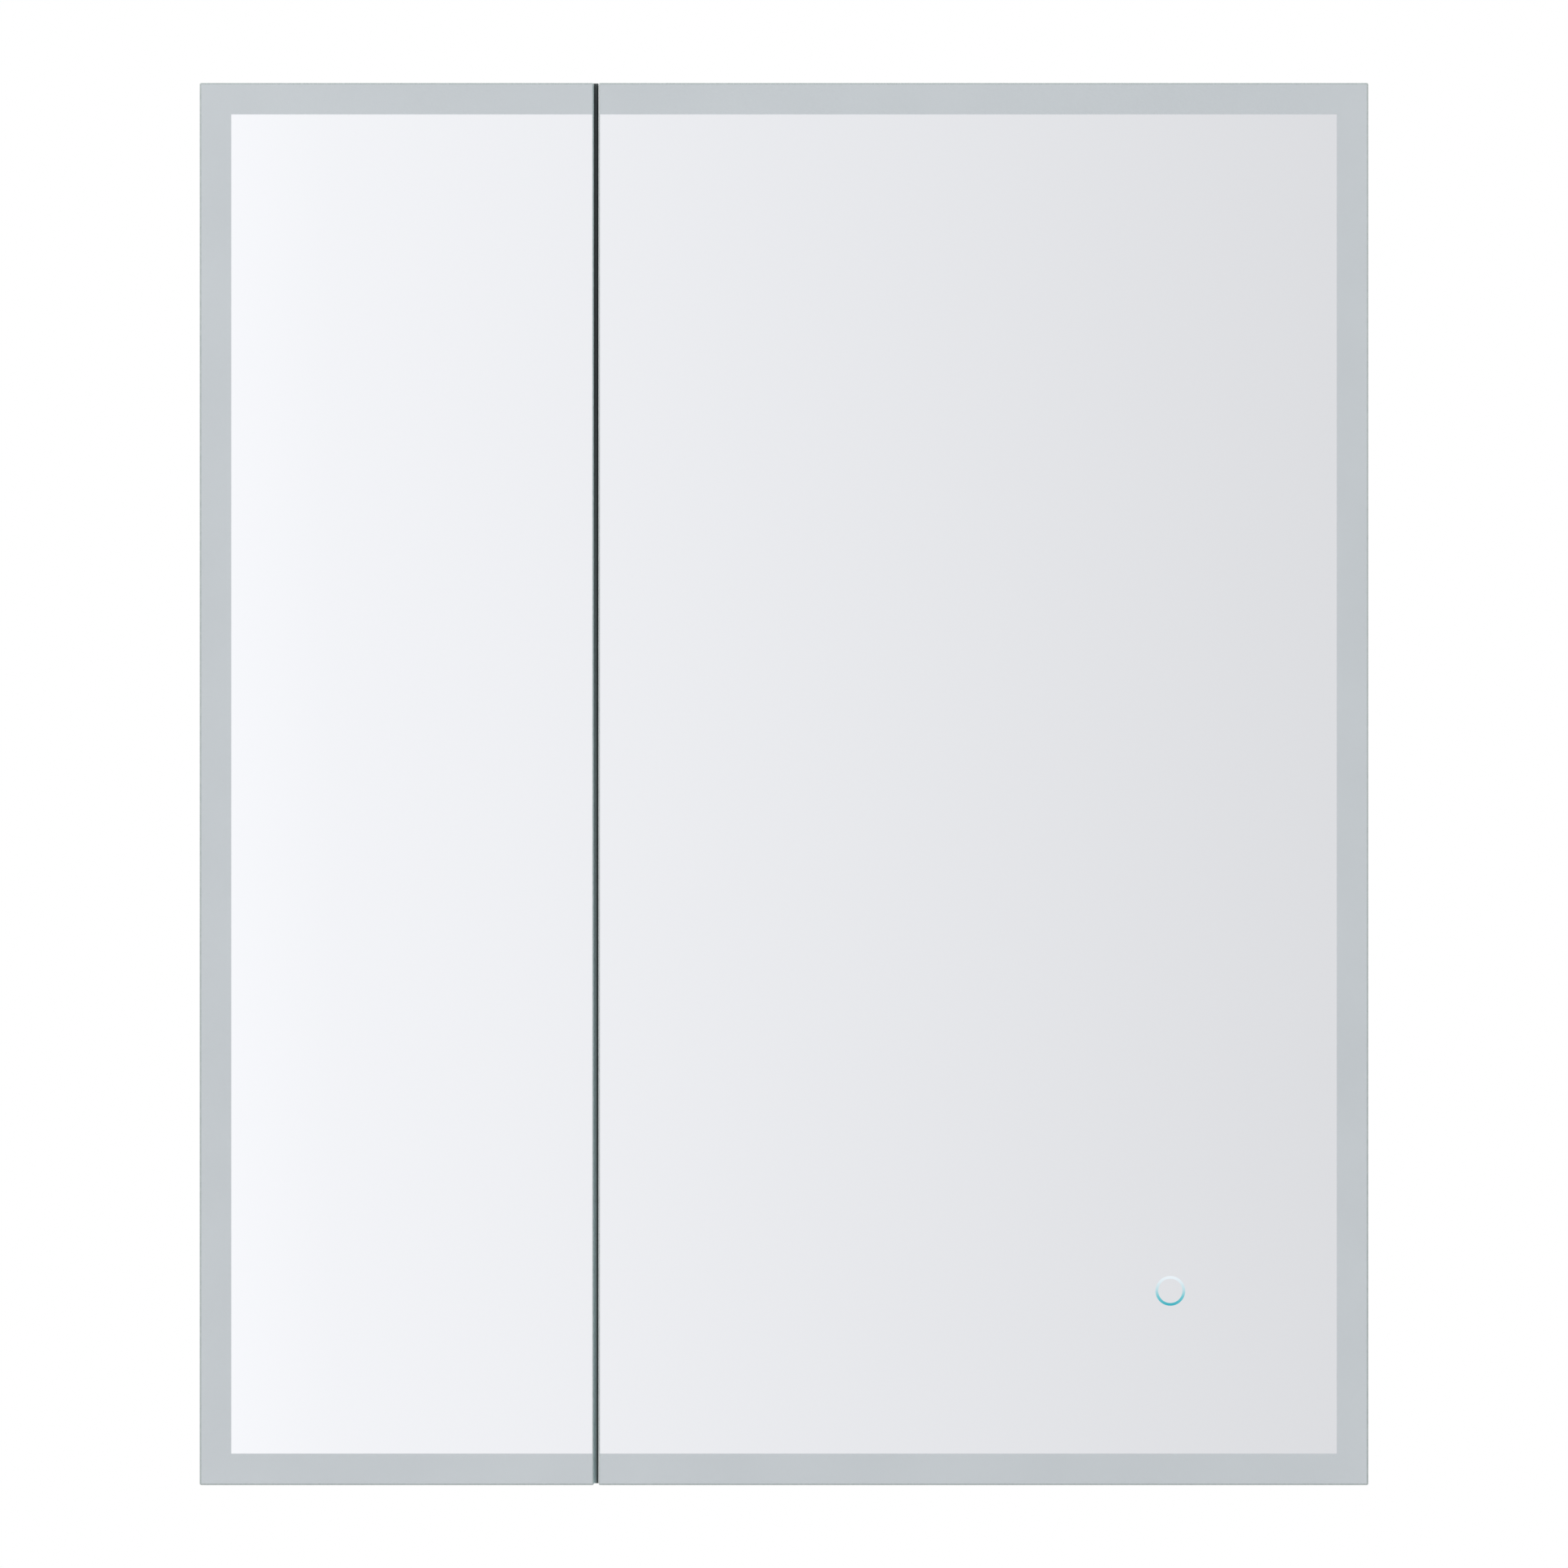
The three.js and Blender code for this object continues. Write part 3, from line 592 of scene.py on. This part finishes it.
def spun(profile, steps, closed=False):
    """A line of (radius, height) pairs, in millimetres, turned about Z."""
    bm = bmesh.new()
    verts = [bm.verts.new((radius * MM, 0, height * MM)) for radius, height in profile]
    back = verts[:1] if closed else []
    edges = [bm.edges.new(pair) for pair in zip(verts, verts[1:] + back)]
    turn = {"cent": (0, 0, 0), "axis": (0, 0, 1), "angle": 2 * math.pi, "steps": steps}
    bmesh.ops.spin(bm, geom=verts + edges, use_merge=True, **turn)
    bmesh.ops.remove_doubles(bm, verts=bm.verts, dist=MERGE)
    return bm


def turned_shape(profile, steps=32):
    """A solid of revolution about Z. The profile starts and ends on the axis."""
    bm = spun(profile, steps)
    bmesh.ops.recalc_face_normals(bm, faces=bm.faces)
    return bm


def facing(at, direction):
    """The place of something made along Z that stands at a point and looks along a direction."""
    return Matrix.Translation(at) @ Vector(direction).to_track_quat("Z", "Y").to_matrix().to_4x4()


def repeated(name, template, places, body, materials, slot=None, stands_for=()):
    """Copies of a template shape in one piece. The template is used up."""
    mould = bpy.data.meshes.new(name + "_mould")
    template.to_mesh(mould)
    template.free()
    bm = bmesh.new()
    for place in places:
        before = len(bm.verts)
        bm.from_mesh(mould)
        bm.verts.ensure_lookup_table()
        bmesh.ops.transform(bm, matrix=place, verts=bm.verts[before:])
    bpy.data.meshes.remove(mould)
    return as_piece(name, bm, body, materials, stands_for)


def screw_shape(radius):
    """A pan head with a cross recess, standing on Z = 0. Radius in millimetres."""
    height = 0.5 * radius
    rim = [(1, 0), (1, 0.45), (0.93, 0.72), (0.78, 0.9), (0.62, 1)]
    bm = spun([(r * radius, h * height) for r, h in rim], 24)
    top = [e for e in bm.edges if e.is_boundary and e.verts[0].co.z > 0.9 * height * MM]
    wing, arm = 0.46 * radius * MM, 0.12 * radius * MM
    corners = []
    for quarter in range(4):
        turn_by = Matrix.Rotation(quarter * math.pi / 2, 3, "Z")
        for x, y in ((wing, -arm), (wing, arm), (arm, arm)):
            corners.append(bm.verts.new(turn_by @ Vector((x, y, height * MM))))
    cross = [bm.edges.new((a, b)) for a, b in zip(corners, corners[1:] + corners[:1])]
    bmesh.ops.bridge_loops(bm, edges=top + cross)
    slot_face = bm.faces.new(corners)
    floor = bmesh.ops.extrude_face_region(bm, geom=[slot_face])["geom"]
    floor_verts = [v for v in floor if isinstance(v, bmesh.types.BMVert)]
    bmesh.ops.delete(bm, geom=[slot_face], context="FACES_ONLY")
    bmesh.ops.translate(bm, vec=(0, 0, -0.7 * height * MM), verts=floor_verts)
    bmesh.ops.scale(bm, vec=(0.7, 0.7, 1), verts=floor_verts)
    bmesh.ops.holes_fill(bm, edges=[e for e in bm.edges if e.is_boundary])
    bmesh.ops.recalc_face_normals(bm, faces=bm.faces)
    return bm


# ---------------------------------------------------------------- panes


def silvered_pane(node, front_sign, radius):
    """A mirror: silver towards front_sign along Y, lacquer on its back, ground edges."""
    bm = copy_of(node)
    soften(bm, radius * MM)
    materials = [inner_silver, glass_edge, backing]
    for face in bm.faces:
        face.material_index = materials.index(glass_edge)
        if looks_along(face, Y, front_sign):
            face.material_index = materials.index(inner_silver)
        elif looks_along(face, Y, -front_sign):
            face.material_index = materials.index(backing)
    return as_piece(node + "_pane", bm, body_of(node), materials, [node], FLAT)


def door_pane(side):
    """The lit pane of a door: mirror inside an etched border on the three outer sides."""
    node = side + "_front_mirror"
    low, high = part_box(node)
    bm = box_shape(low, high)
    soften(bm, ARRIS, segments=3)
    bm.faces.ensure_lookup_table()
    hinge_edge = low.x if side == LEFT else high.x
    inward = inward_of(side)
    lines = [
        (Vector((hinge_edge + inward * BORDER, 0, 0)), Vector((1, 0, 0))),
        (Vector((0, 0, low.z + BORDER)), Vector((0, 0, 1))),
        (Vector((0, 0, high.z - BORDER)), Vector((0, 0, 1))),
    ]
    for point, normal in lines:
        front = [f for f in bm.faces if looks_along(f, Y, -1)]
        parts = [part for face in front for part in (face, *face.edges, *face.verts)]
        bmesh.ops.bisect_plane(bm, geom=list(dict.fromkeys(parts)), plane_co=point, plane_no=normal)
    # Painted light: the left door's meeting edge gets the shaded copy of the glass edge, and the right door's
    # gets the highlighted copy.
    meeting_edge = painted_shade_edge if side == LEFT else painted_light_edge
    materials = [silver, border, glass_edge, backing, meeting_edge]
    for face in bm.faces:
        finish = meeting_edge if face.normal.x * inward > MEETING_SIDE else glass_edge
        if looks_along(face, Y, 1):
            finish = backing
        elif looks_along(face, Y, -1):
            middle = face.calc_center_median()
            within = low.z + BORDER < middle.z < high.z - BORDER
            finish = silver if within and (middle.x - hinge_edge) * inward > BORDER else border
        face.material_index = materials.index(finish)
    return as_piece(node + "_pane", bm, side + "_door", materials, [node], FLAT)


def glazing_tape(side):
    """Foam tape between a door's frame and its pane, seen as a dark line round the door's side."""
    low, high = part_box(side + "_front_mirror")
    frame_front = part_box(side + "_hinge_stile")[0].y
    inset = Vector((TAPE_INSET, 0, TAPE_INSET))
    bm = box_shape(low + inset, high - inset)
    for vert in bm.verts:
        vert.co.y = high.y if vert.co.y < (low.y + high.y) / 2 else frame_front
    faces = [f for f in bm.faces if lies_across(f, Y)]
    bmesh.ops.inset_individual(bm, faces=faces, thickness=TAPE_WIDTH, use_even_offset=True)
    bmesh.ops.delete(bm, geom=faces, context="FACES_ONLY")
    bmesh.ops.bridge_loops(bm, edges=[e for e in bm.edges if e.is_boundary])
    bmesh.ops.recalc_face_normals(bm, faces=bm.faces)
    soften(bm, 0.1 * MM, segments=1)
    return as_piece(side + "_glazing_tape", bm, side + "_door", [tape_black])


def meeting_seal():
    """Rubber strip on the left door's meeting stile, which closes the gap between the doors."""
    pane_low, pane_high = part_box("left_front_mirror")
    stile_low, stile_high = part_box("left_meeting_stile")
    low = (stile_high.x, stile_low.y, pane_low.z + SEAL_FOOT)
    high = (stile_high.x + SEAL_PROUD, stile_low.y + SEAL_DEPTH, pane_high.z)
    bm = box_shape(low, high)
    tip = [e for e in bm.edges if all(v.co.x > stile_high.x + SEAL_PROUD / 2 for v in e.verts)]
    upright = [e for e in tip if abs(e.verts[0].co.z - e.verts[1].co.z) > BORDER]
    bevelled(bm, upright, SEAL_ROUND, 5)
    return as_piece("left_meeting_seal", bm, "left_door", [seal_black])


def touch_ring():
    """A flat lit ring on the wide door's pane."""
    outer, inner = RING_RADIUS / MM, (RING_RADIUS - RING_LINE) / MM
    proud, arris = RING_PROUD / MM, RING_ARRIS / MM
    section = [(outer, 0), (outer, proud * 0.6), (outer - arris, proud)]
    section += [(inner + arris, proud), (inner, proud * 0.6), (inner, 0)]
    bm = spun(section, 96, closed=True)
    bmesh.ops.transform(bm, matrix=facing(ring_centre, (0, -1, 0)), verts=bm.verts)
    bmesh.ops.recalc_face_normals(bm, faces=bm.faces)
    return as_piece("touch_ring", bm, "right_door", [ring_glow])


# ---------------------------------------------------------------- body and fittings


def body_shell():
    for side in (LEFT, RIGHT):
        refined(side + "_side_panel", 0.35, body_metal["z"])
    for place in ("top", "bottom"):
        refined(place + "_panel", 0.35, body_metal["x"])
    refined("back_panel", 0.2, sheet_metal, segments=1)
    silvered_pane("back_mirror", -1, 0.5)
    for place in ("upper", "lower"):
        refined(place + "_door_bumper", 1.1, pad_clear, segments=4)


def wall_screw_caps():
    """Domed caps over the four wall screws, seated in the back mirror's holes."""
    sheet_low, sheet_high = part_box("back_panel")
    height = (sheet_high.z - sheet_low.z) / 2 + SHEET_CLEARANCE - WALL_SCREW_INSET
    profile = [(0, 0), (8.4, 0), (8.4, 5.2), (10.6, 5.2), (10.6, 6.2)]
    profile += [(9.9, 7.0), (7.2, 8.2), (3.6, 8.9), (0, 9.1)]
    seat_y = sheet_low.y - SHEET_CLEARANCE
    spots = [(sx * WALL_SCREW_HALF_SPACING, seat_y, sz * height) for sx in (-1, 1) for sz in (-1, 1)]
    places = [facing(spot, (0, -1, 0)) for spot in spots]
    repeated("wall_screw_caps", turned_shape(profile, 48), places, "cabinet", [nickel], "hinge_steel")


def supply_fittings():
    refined("driver_cover", 1.0, white_moulding, segments=3)
    refined("led_driver", 1.2, grey_moulding, segments=3)
    low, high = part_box("driver_cover")
    louvre = box_shape(
        (-LOUVRE_HALF_LENGTH, -LOUVRE_HALF_HEIGHT, -LOUVRE_SUNK),
        (LOUVRE_HALF_LENGTH, LOUVRE_HALF_HEIGHT, LOUVRE_PROUD),
    )
    soften(louvre, LOUVRE_ROUND, segments=3)
    columns = [(i - (LOUVRE_COLUMNS - 1) / 2) * LOUVRE_COLUMN_PITCH for i in range(LOUVRE_COLUMNS)]
    rows = [low.z + LOUVRE_FOOT + i * LOUVRE_ROW_PITCH for i in range(LOUVRE_ROWS)]
    places = [facing((x, low.y, z), (0, -1, 0)) for x in columns for z in rows]
    repeated("driver_cover_louvres", louvre, places, "cabinet", [white_moulding], "white_plastic")
    ends = [low.x + COVER_SCREW_INSET, high.x - COVER_SCREW_INSET]
    places = [facing((x, low.y, (low.z + high.z) / 2), (0, -1, 0)) for x in ends]
    repeated("driver_cover_screws", screw_shape(COVER_SCREW), places, "cabinet", [nickel], "hinge_steel")

    low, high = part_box("supply_plug")
    head = (high.x - low.x) / 2 / MM
    tall = (high.z - low.z) / MM
    stem = 11.0
    seat = tall - 1.6  # the head's underside
    profile = [(0, 0), (stem - 1.2, 0), (stem, 1.4), (stem, seat), (head, seat), (head, seat + 0.5)]
    profile += [(head - 0.7, tall - 0.15), (head - 2.2, tall)]
    profile += [(5.5, tall), (4.8, tall - 0.6), (0, tall - 0.6)]  # the dished top
    finish = ([grey_moulding], "grey_plastic", ["supply_plug"])
    repeated("supply_plug_finish", turned_shape(profile, 64), [on_foot_of(low, high)], "cabinet", *finish)


def hinge_set(side, place):
    """One concealed hinge: plate and arm on the body, cup and pin on the door, with their screws."""
    plate, arm, cup, pin = (f"{side}_hinge_{part}_{place}" for part in ("plate", "arm", "cup", "pin"))
    refined(plate, 0.55, casting)
    refined(arm, 0.3, nickel)
    refined(cup, 0.3, casting)

    low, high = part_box(pin)
    radius = (high.x - low.x) / 2 / MM
    length = (high.z - low.z) / MM
    dome = [(0, 0), (radius - 0.6, 0.05), (radius, 0.6)]
    profile = dome + [(r, length - z) for r, z in reversed(dome)]
    finish = ([nickel], "hinge_steel", [pin])
    repeated(pin + "_finish", turned_shape(profile, 24), [on_foot_of(low, high)], side + "_door", *finish)

    low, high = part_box(plate)
    face = high.x if side == LEFT else low.x
    middle = low.y + (high.y - low.y) / 2
    centre_z = (low.z + high.z) / 2
    reach = (high.z - low.z) / 2 - PLATE_SCREW_INSET
    spots = [(face, middle, centre_z + sign * reach) for sign in (-1, 1)]
    arm_low, arm_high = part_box(arm)
    strap = arm_high.x if side == LEFT else arm_low.x
    spots += [(strap, high.y - inset, centre_z) for inset in ARM_SCREW_INSETS]
    places = [facing(spot, (inward_of(side), 0, 0)) for spot in spots]
    repeated(plate + "_screws", screw_shape(PLATE_SCREW), places, "cabinet", [nickel], "hinge_steel")

    low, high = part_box(cup)
    reach = (high.z - low.z) / 2 - CUP_SCREW_INSET
    centre_z = (low.z + high.z) / 2
    spots = [((low.x + high.x) / 2, high.y, centre_z + sign * reach) for sign in (-1, 1)]
    places = [facing(spot, (0, 1, 0)) for spot in spots]
    repeated(cup + "_screws", screw_shape(CUP_SCREW), places, side + "_door", [nickel], "hinge_steel")


def shelf_set(place):
    """A glass shelf in its two brackets, each with a clamping screw under it."""
    node = place + "_shelf_glass"
    bm = copy_of(node)
    soften(bm, 0.3 * MM, least_angle=20)
    materials = [clear_shelf, glass_edge]
    for face in bm.faces:
        face.material_index = materials.index(clear_shelf if lies_across(face, Z) else glass_edge)
    as_piece(node + "_pane", bm, body_of(node), materials, [node], FLAT)
    for side in (LEFT, RIGHT):
        bracket = f"{place}_shelf_{side}_bracket"
        refined(bracket, 0.4, bracket_metal)
        low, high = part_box(bracket)
        inner = high.x if side == LEFT else low.x
        x = inner - inward_of(side) * BRACKET_SCREW_INSET
        spots = [(x, low.y + share * (high.y - low.y), low.z) for share in BRACKET_SCREW_SHARES]
        places = [facing(spot, (0, 0, -1)) for spot in spots]
        screw = screw_shape(BRACKET_SCREW)
        repeated(bracket + "_screws", screw, places, body_of(bracket), [nickel], "hinge_steel")


def door_lead(side):
    """The lighting lead, from the body down beside the hinge axis into the door.
    """
    node = side + "_door_lead"
    low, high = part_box(node)
    inward = inward_of(side)
    radius = LEAD_RADIUS
    bend = LEAD_BEND
    corner = 0 if side == RIGHT else 1  # of the side panel's box, on its inner face
    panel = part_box(side + "_side_panel")
    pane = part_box(side + "_front_mirror")
    stile_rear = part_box(side + "_hinge_stile")[1].y
    start = Vector((panel[corner].x + inward * SEAM, panel[0].y + LEAD_BODY_INSET, high.z - radius))
    end = Vector((pane[1 - corner].x + inward * LEAD_DOOR_INSET, stile_rear + SEAM, low.z + radius))
    route = [
        start,
        start + Vector((inward * 0.5 * bend, 0, -0.1 * bend)),
        start + Vector((inward * 0.8 * bend, -0.1 * bend, -0.9 * bend)),
        Vector((end.x + inward * 0.6 * bend, (start.y + end.y) / 2, (start.z + end.z) / 2)),
        end + Vector((0, bend, bend)),
        end + Vector((0, 0.75 * bend, 0.15 * bend)),
        end,
    ]
    curve = bpy.data.curves.new(node + "_route", "CURVE")
    curve.dimensions = "3D"
    curve.bevel_depth = radius
    curve.bevel_resolution = 6
    curve.resolution_u = 16
    curve.use_fill_caps = True
    spline = curve.splines.new("BEZIER")
    spline.bezier_points.add(len(route) - 1)
    for point, at in zip(spline.bezier_points, route):
        point.co = at
        point.handle_left_type = point.handle_right_type = "AUTO"
    drawn = bpy.data.objects.new(node + "_drawn", curve)
    mesh = bpy.data.meshes.new_from_object(drawn)
    bpy.data.objects.remove(drawn)
    bpy.data.curves.remove(curve)
    bm = bmesh.new()
    bm.from_mesh(mesh)
    bpy.data.meshes.remove(mesh)
    piece = as_piece(node + "_sheath", bm, None, [sheath], [node])
    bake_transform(piece)

    grommet = [(0, 0), (3.4, 0), (3.4, 0.9), (2.6, 1.5), (2.0, 2.6), (1.62, 3.4), (0, 3.4)]
    ends = [("body", "cabinet", start, (inward, 0, 0)), ("door", side + "_door", end, (0, 1, 0))]
    for end_name, body, at, direction in ends:
        name = f"{side}_lead_grommet_{end_name}"
        repeated(name, turned_shape(grommet), [facing(at, direction)], body, [dark_moulding])


# ---------------------------------------------------------------- doors


def door_lighting(side):
    """Light-emitting packages along the strip's inner face, on the door's three lit sides."""
    strip_low, strip_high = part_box(side + "_led_strip")
    refined(side + "_led_strip", 0.15, board_white, segments=1)
    refined(side + "_light_guide", 0.3, opal, segments=1)
    y = (strip_low.y + strip_high.y) / 2
    package = box_shape((-LED_HALF_LENGTH, -LED_HALF_WIDTH, 0), (LED_HALF_LENGTH, LED_HALF_WIDTH, LED_HEIGHT))
    soften(package, 0.12 * MM, segments=1)
    top = max(package.faces, key=lambda f: f.calc_center_median().z)
    bmesh.ops.inset_region(package, faces=[top], thickness=LED_RIM, use_even_offset=True)
    materials = [board_white, led_yellow]
    top.material_index = materials.index(led_yellow)
    inward = inward_of(side)
    x = (strip_low.x if side == LEFT else strip_high.x) + inward * LED_BOARD
    upright = int((strip_high.z - strip_low.z) / LED_PITCH) - 1
    across = int((strip_high.x - strip_low.x) / LED_PITCH) - 1
    heights = [strip_low.z + (i + 1) * LED_PITCH for i in range(upright)]
    places = [facing((x, y, z), (inward, 0, 0)) for z in heights]
    for i in range(across):
        along = strip_low.x + (i + 1) * LED_PITCH
        places.append(facing((along, y, strip_high.z - LED_BOARD), (0, 0, -1)))
        places.append(facing((along, y, strip_low.z + LED_BOARD), (0, 0, 1)))
    repeated(side + "_led_packages", package, places, side + "_door", materials)


def door(side):
    for rail in ("top_rail", "bottom_rail"):
        refined(f"{side}_{rail}", 0.3, frame_metal["x"])
    for stile in ("hinge_stile", "meeting_stile"):
        refined(f"{side}_{stile}", 0.3, frame_metal["z"])
    door_pane(side)
    silvered_pane(side + "_inner_mirror", 1, 0.4)
    glazing_tape(side)
    door_lighting(side)
    door_lead(side)
    for place in HINGES[side]:
        hinge_set(side, place)


# ---------------------------------------------------------------- studio


def reflected_card():
    """A pale card for the mirrors to reflect, brighter on the left, with faded edges."""
    card = Finish("front_card")
    x, z = card.axis("X"), card.axis("Z")
    slope = card.between(x, -1.6, 1.6, 1.189, 0.565)
    lift = card.between(x, -0.64, -0.44, 0.04, 0.0)
    sides = card.between(card.size_of(x), 0.75, 1.7, 1.0, 0.0, smooth=True)
    ends = card.between(card.size_of(z), 0.8, 1.5, 1.0, 0.0, smooth=True)
    glow = card.node("ShaderNodeEmission", {}, {"Color": rgb(1.0, 1.0, 1.005), "Strength": slope + lift})
    clear = card.node("ShaderNodeBsdfTransparent")
    mixed = card.node("ShaderNodeMixShader", {}, {0: sides * ends, 1: clear, 2: glow})
    card.node("ShaderNodeOutputMaterial", {}, {"Surface": mixed})
    bm = bmesh.new()
    bmesh.ops.create_grid(bm, x_segments=1, y_segments=1, size=CARD_HALF_SIZE)
    bmesh.ops.rotate(bm, cent=(0, 0, 0), matrix=Matrix.Rotation(math.pi / 2, 3, "X"), verts=bm.verts)
    bmesh.ops.translate(bm, vec=(0, front_y - CARD_DISTANCE, 0), verts=bm.verts)
    piece = as_piece("front_card", bm, None, [card.owner])
    piece.visible_camera = False
    piece.visible_shadow = False
    return piece


def surroundings():
    """White to the camera; in lighting and in reflections, grey below and pale above."""
    world = bpy.data.worlds.new("studio_world")
    bpy.context.scene.world = world
    f = Finish("studio_world", world)
    direction = f.node("ShaderNodeTexCoord", output="Generated")
    x = f.node("ShaderNodeSeparateXYZ", {}, {0: direction}, output="X")
    z = f.node("ShaderNodeSeparateXYZ", {}, {0: direction}, output="Z")
    level = f.between(z, -0.6, 0.9, 0.26, 0.80) - x * 0.14
    soft = f.node("ShaderNodeBackground", {}, {"Color": rgb(0.985, 0.993, 1.0), "Strength": level})
    white = f.node("ShaderNodeBackground", {}, {"Color": grey(1.0), "Strength": 1.0})
    ray = f.node("ShaderNodeLightPath", output="Is Camera Ray")
    shown = f.node("ShaderNodeMixShader", {}, {0: ray, 1: soft, 2: white})
    f.node("ShaderNodeOutputWorld", {}, {"Surface": shown})


def studio():
    floor = bmesh.new()
    bmesh.ops.create_circle(floor, cap_ends=True, segments=96, radius=FLOOR_RADIUS)
    bmesh.ops.translate(floor, vec=(0, 0, front_low.z - FLOOR_DROP), verts=floor.verts)
    as_piece("studio_floor", floor, None, [studio_floor()])

    reflected_card()
    surroundings()

    lamps = [  # name, place, size in metres, power in watts
        ("key", (-1.7, -2.2, 1.5), 1.5, 22),
        ("fill", (2.0, -1.6, 0.5), 1.4, 9.5),
        ("top", (0.2, -0.4, 2.2), 2.0, 8.5),
        ("back_left", (-1.8, 1.6, 0.9), 2.2, 8),
        ("back_right", (1.8, 1.8, 0.6), 2.2, 8),
    ]
    for name, at, size, power in lamps:
        light = bpy.data.lights.new(name, "AREA")
        light.shape = "SQUARE"
        light.size = size
        light.energy = power
        lamp = bpy.data.objects.new(name, light)
        lamp.location = at
        lamp.rotation_euler = (-Vector(at)).to_track_quat("-Z", "Y").to_euler()
        bpy.context.scene.collection.objects.link(lamp)


def camera():
    lens = bpy.data.cameras.new("camera")
    lens.sensor_width = SENSOR
    lens.lens = SENSOR * CAMERA_DISTANCE * FRONT_SHARE / front_width
    eye = bpy.data.objects.new("camera", lens)
    centre = (front_low + front_high) / 2
    eye.location = (centre.x, front_y - CAMERA_DISTANCE, centre.z)
    eye.rotation_euler = (math.pi / 2, 0, 0)
    bpy.context.scene.collection.objects.link(eye)
    bpy.context.scene.camera = eye


# ---------------------------------------------------------------- assembly

camera()
bpy.context.scene.view_settings.view_transform = "Standard"
body_shell()
wall_screw_caps()
supply_fittings()
for shelf in SHELVES:
    shelf_set(shelf)
for hand in (LEFT, RIGHT):
    door(hand)
meeting_seal()
touch_ring()
refined("right_touch_sensor", 0.3, white_moulding)
refined("right_defogger_pad", 0.1, film_amber, segments=1)
studio()
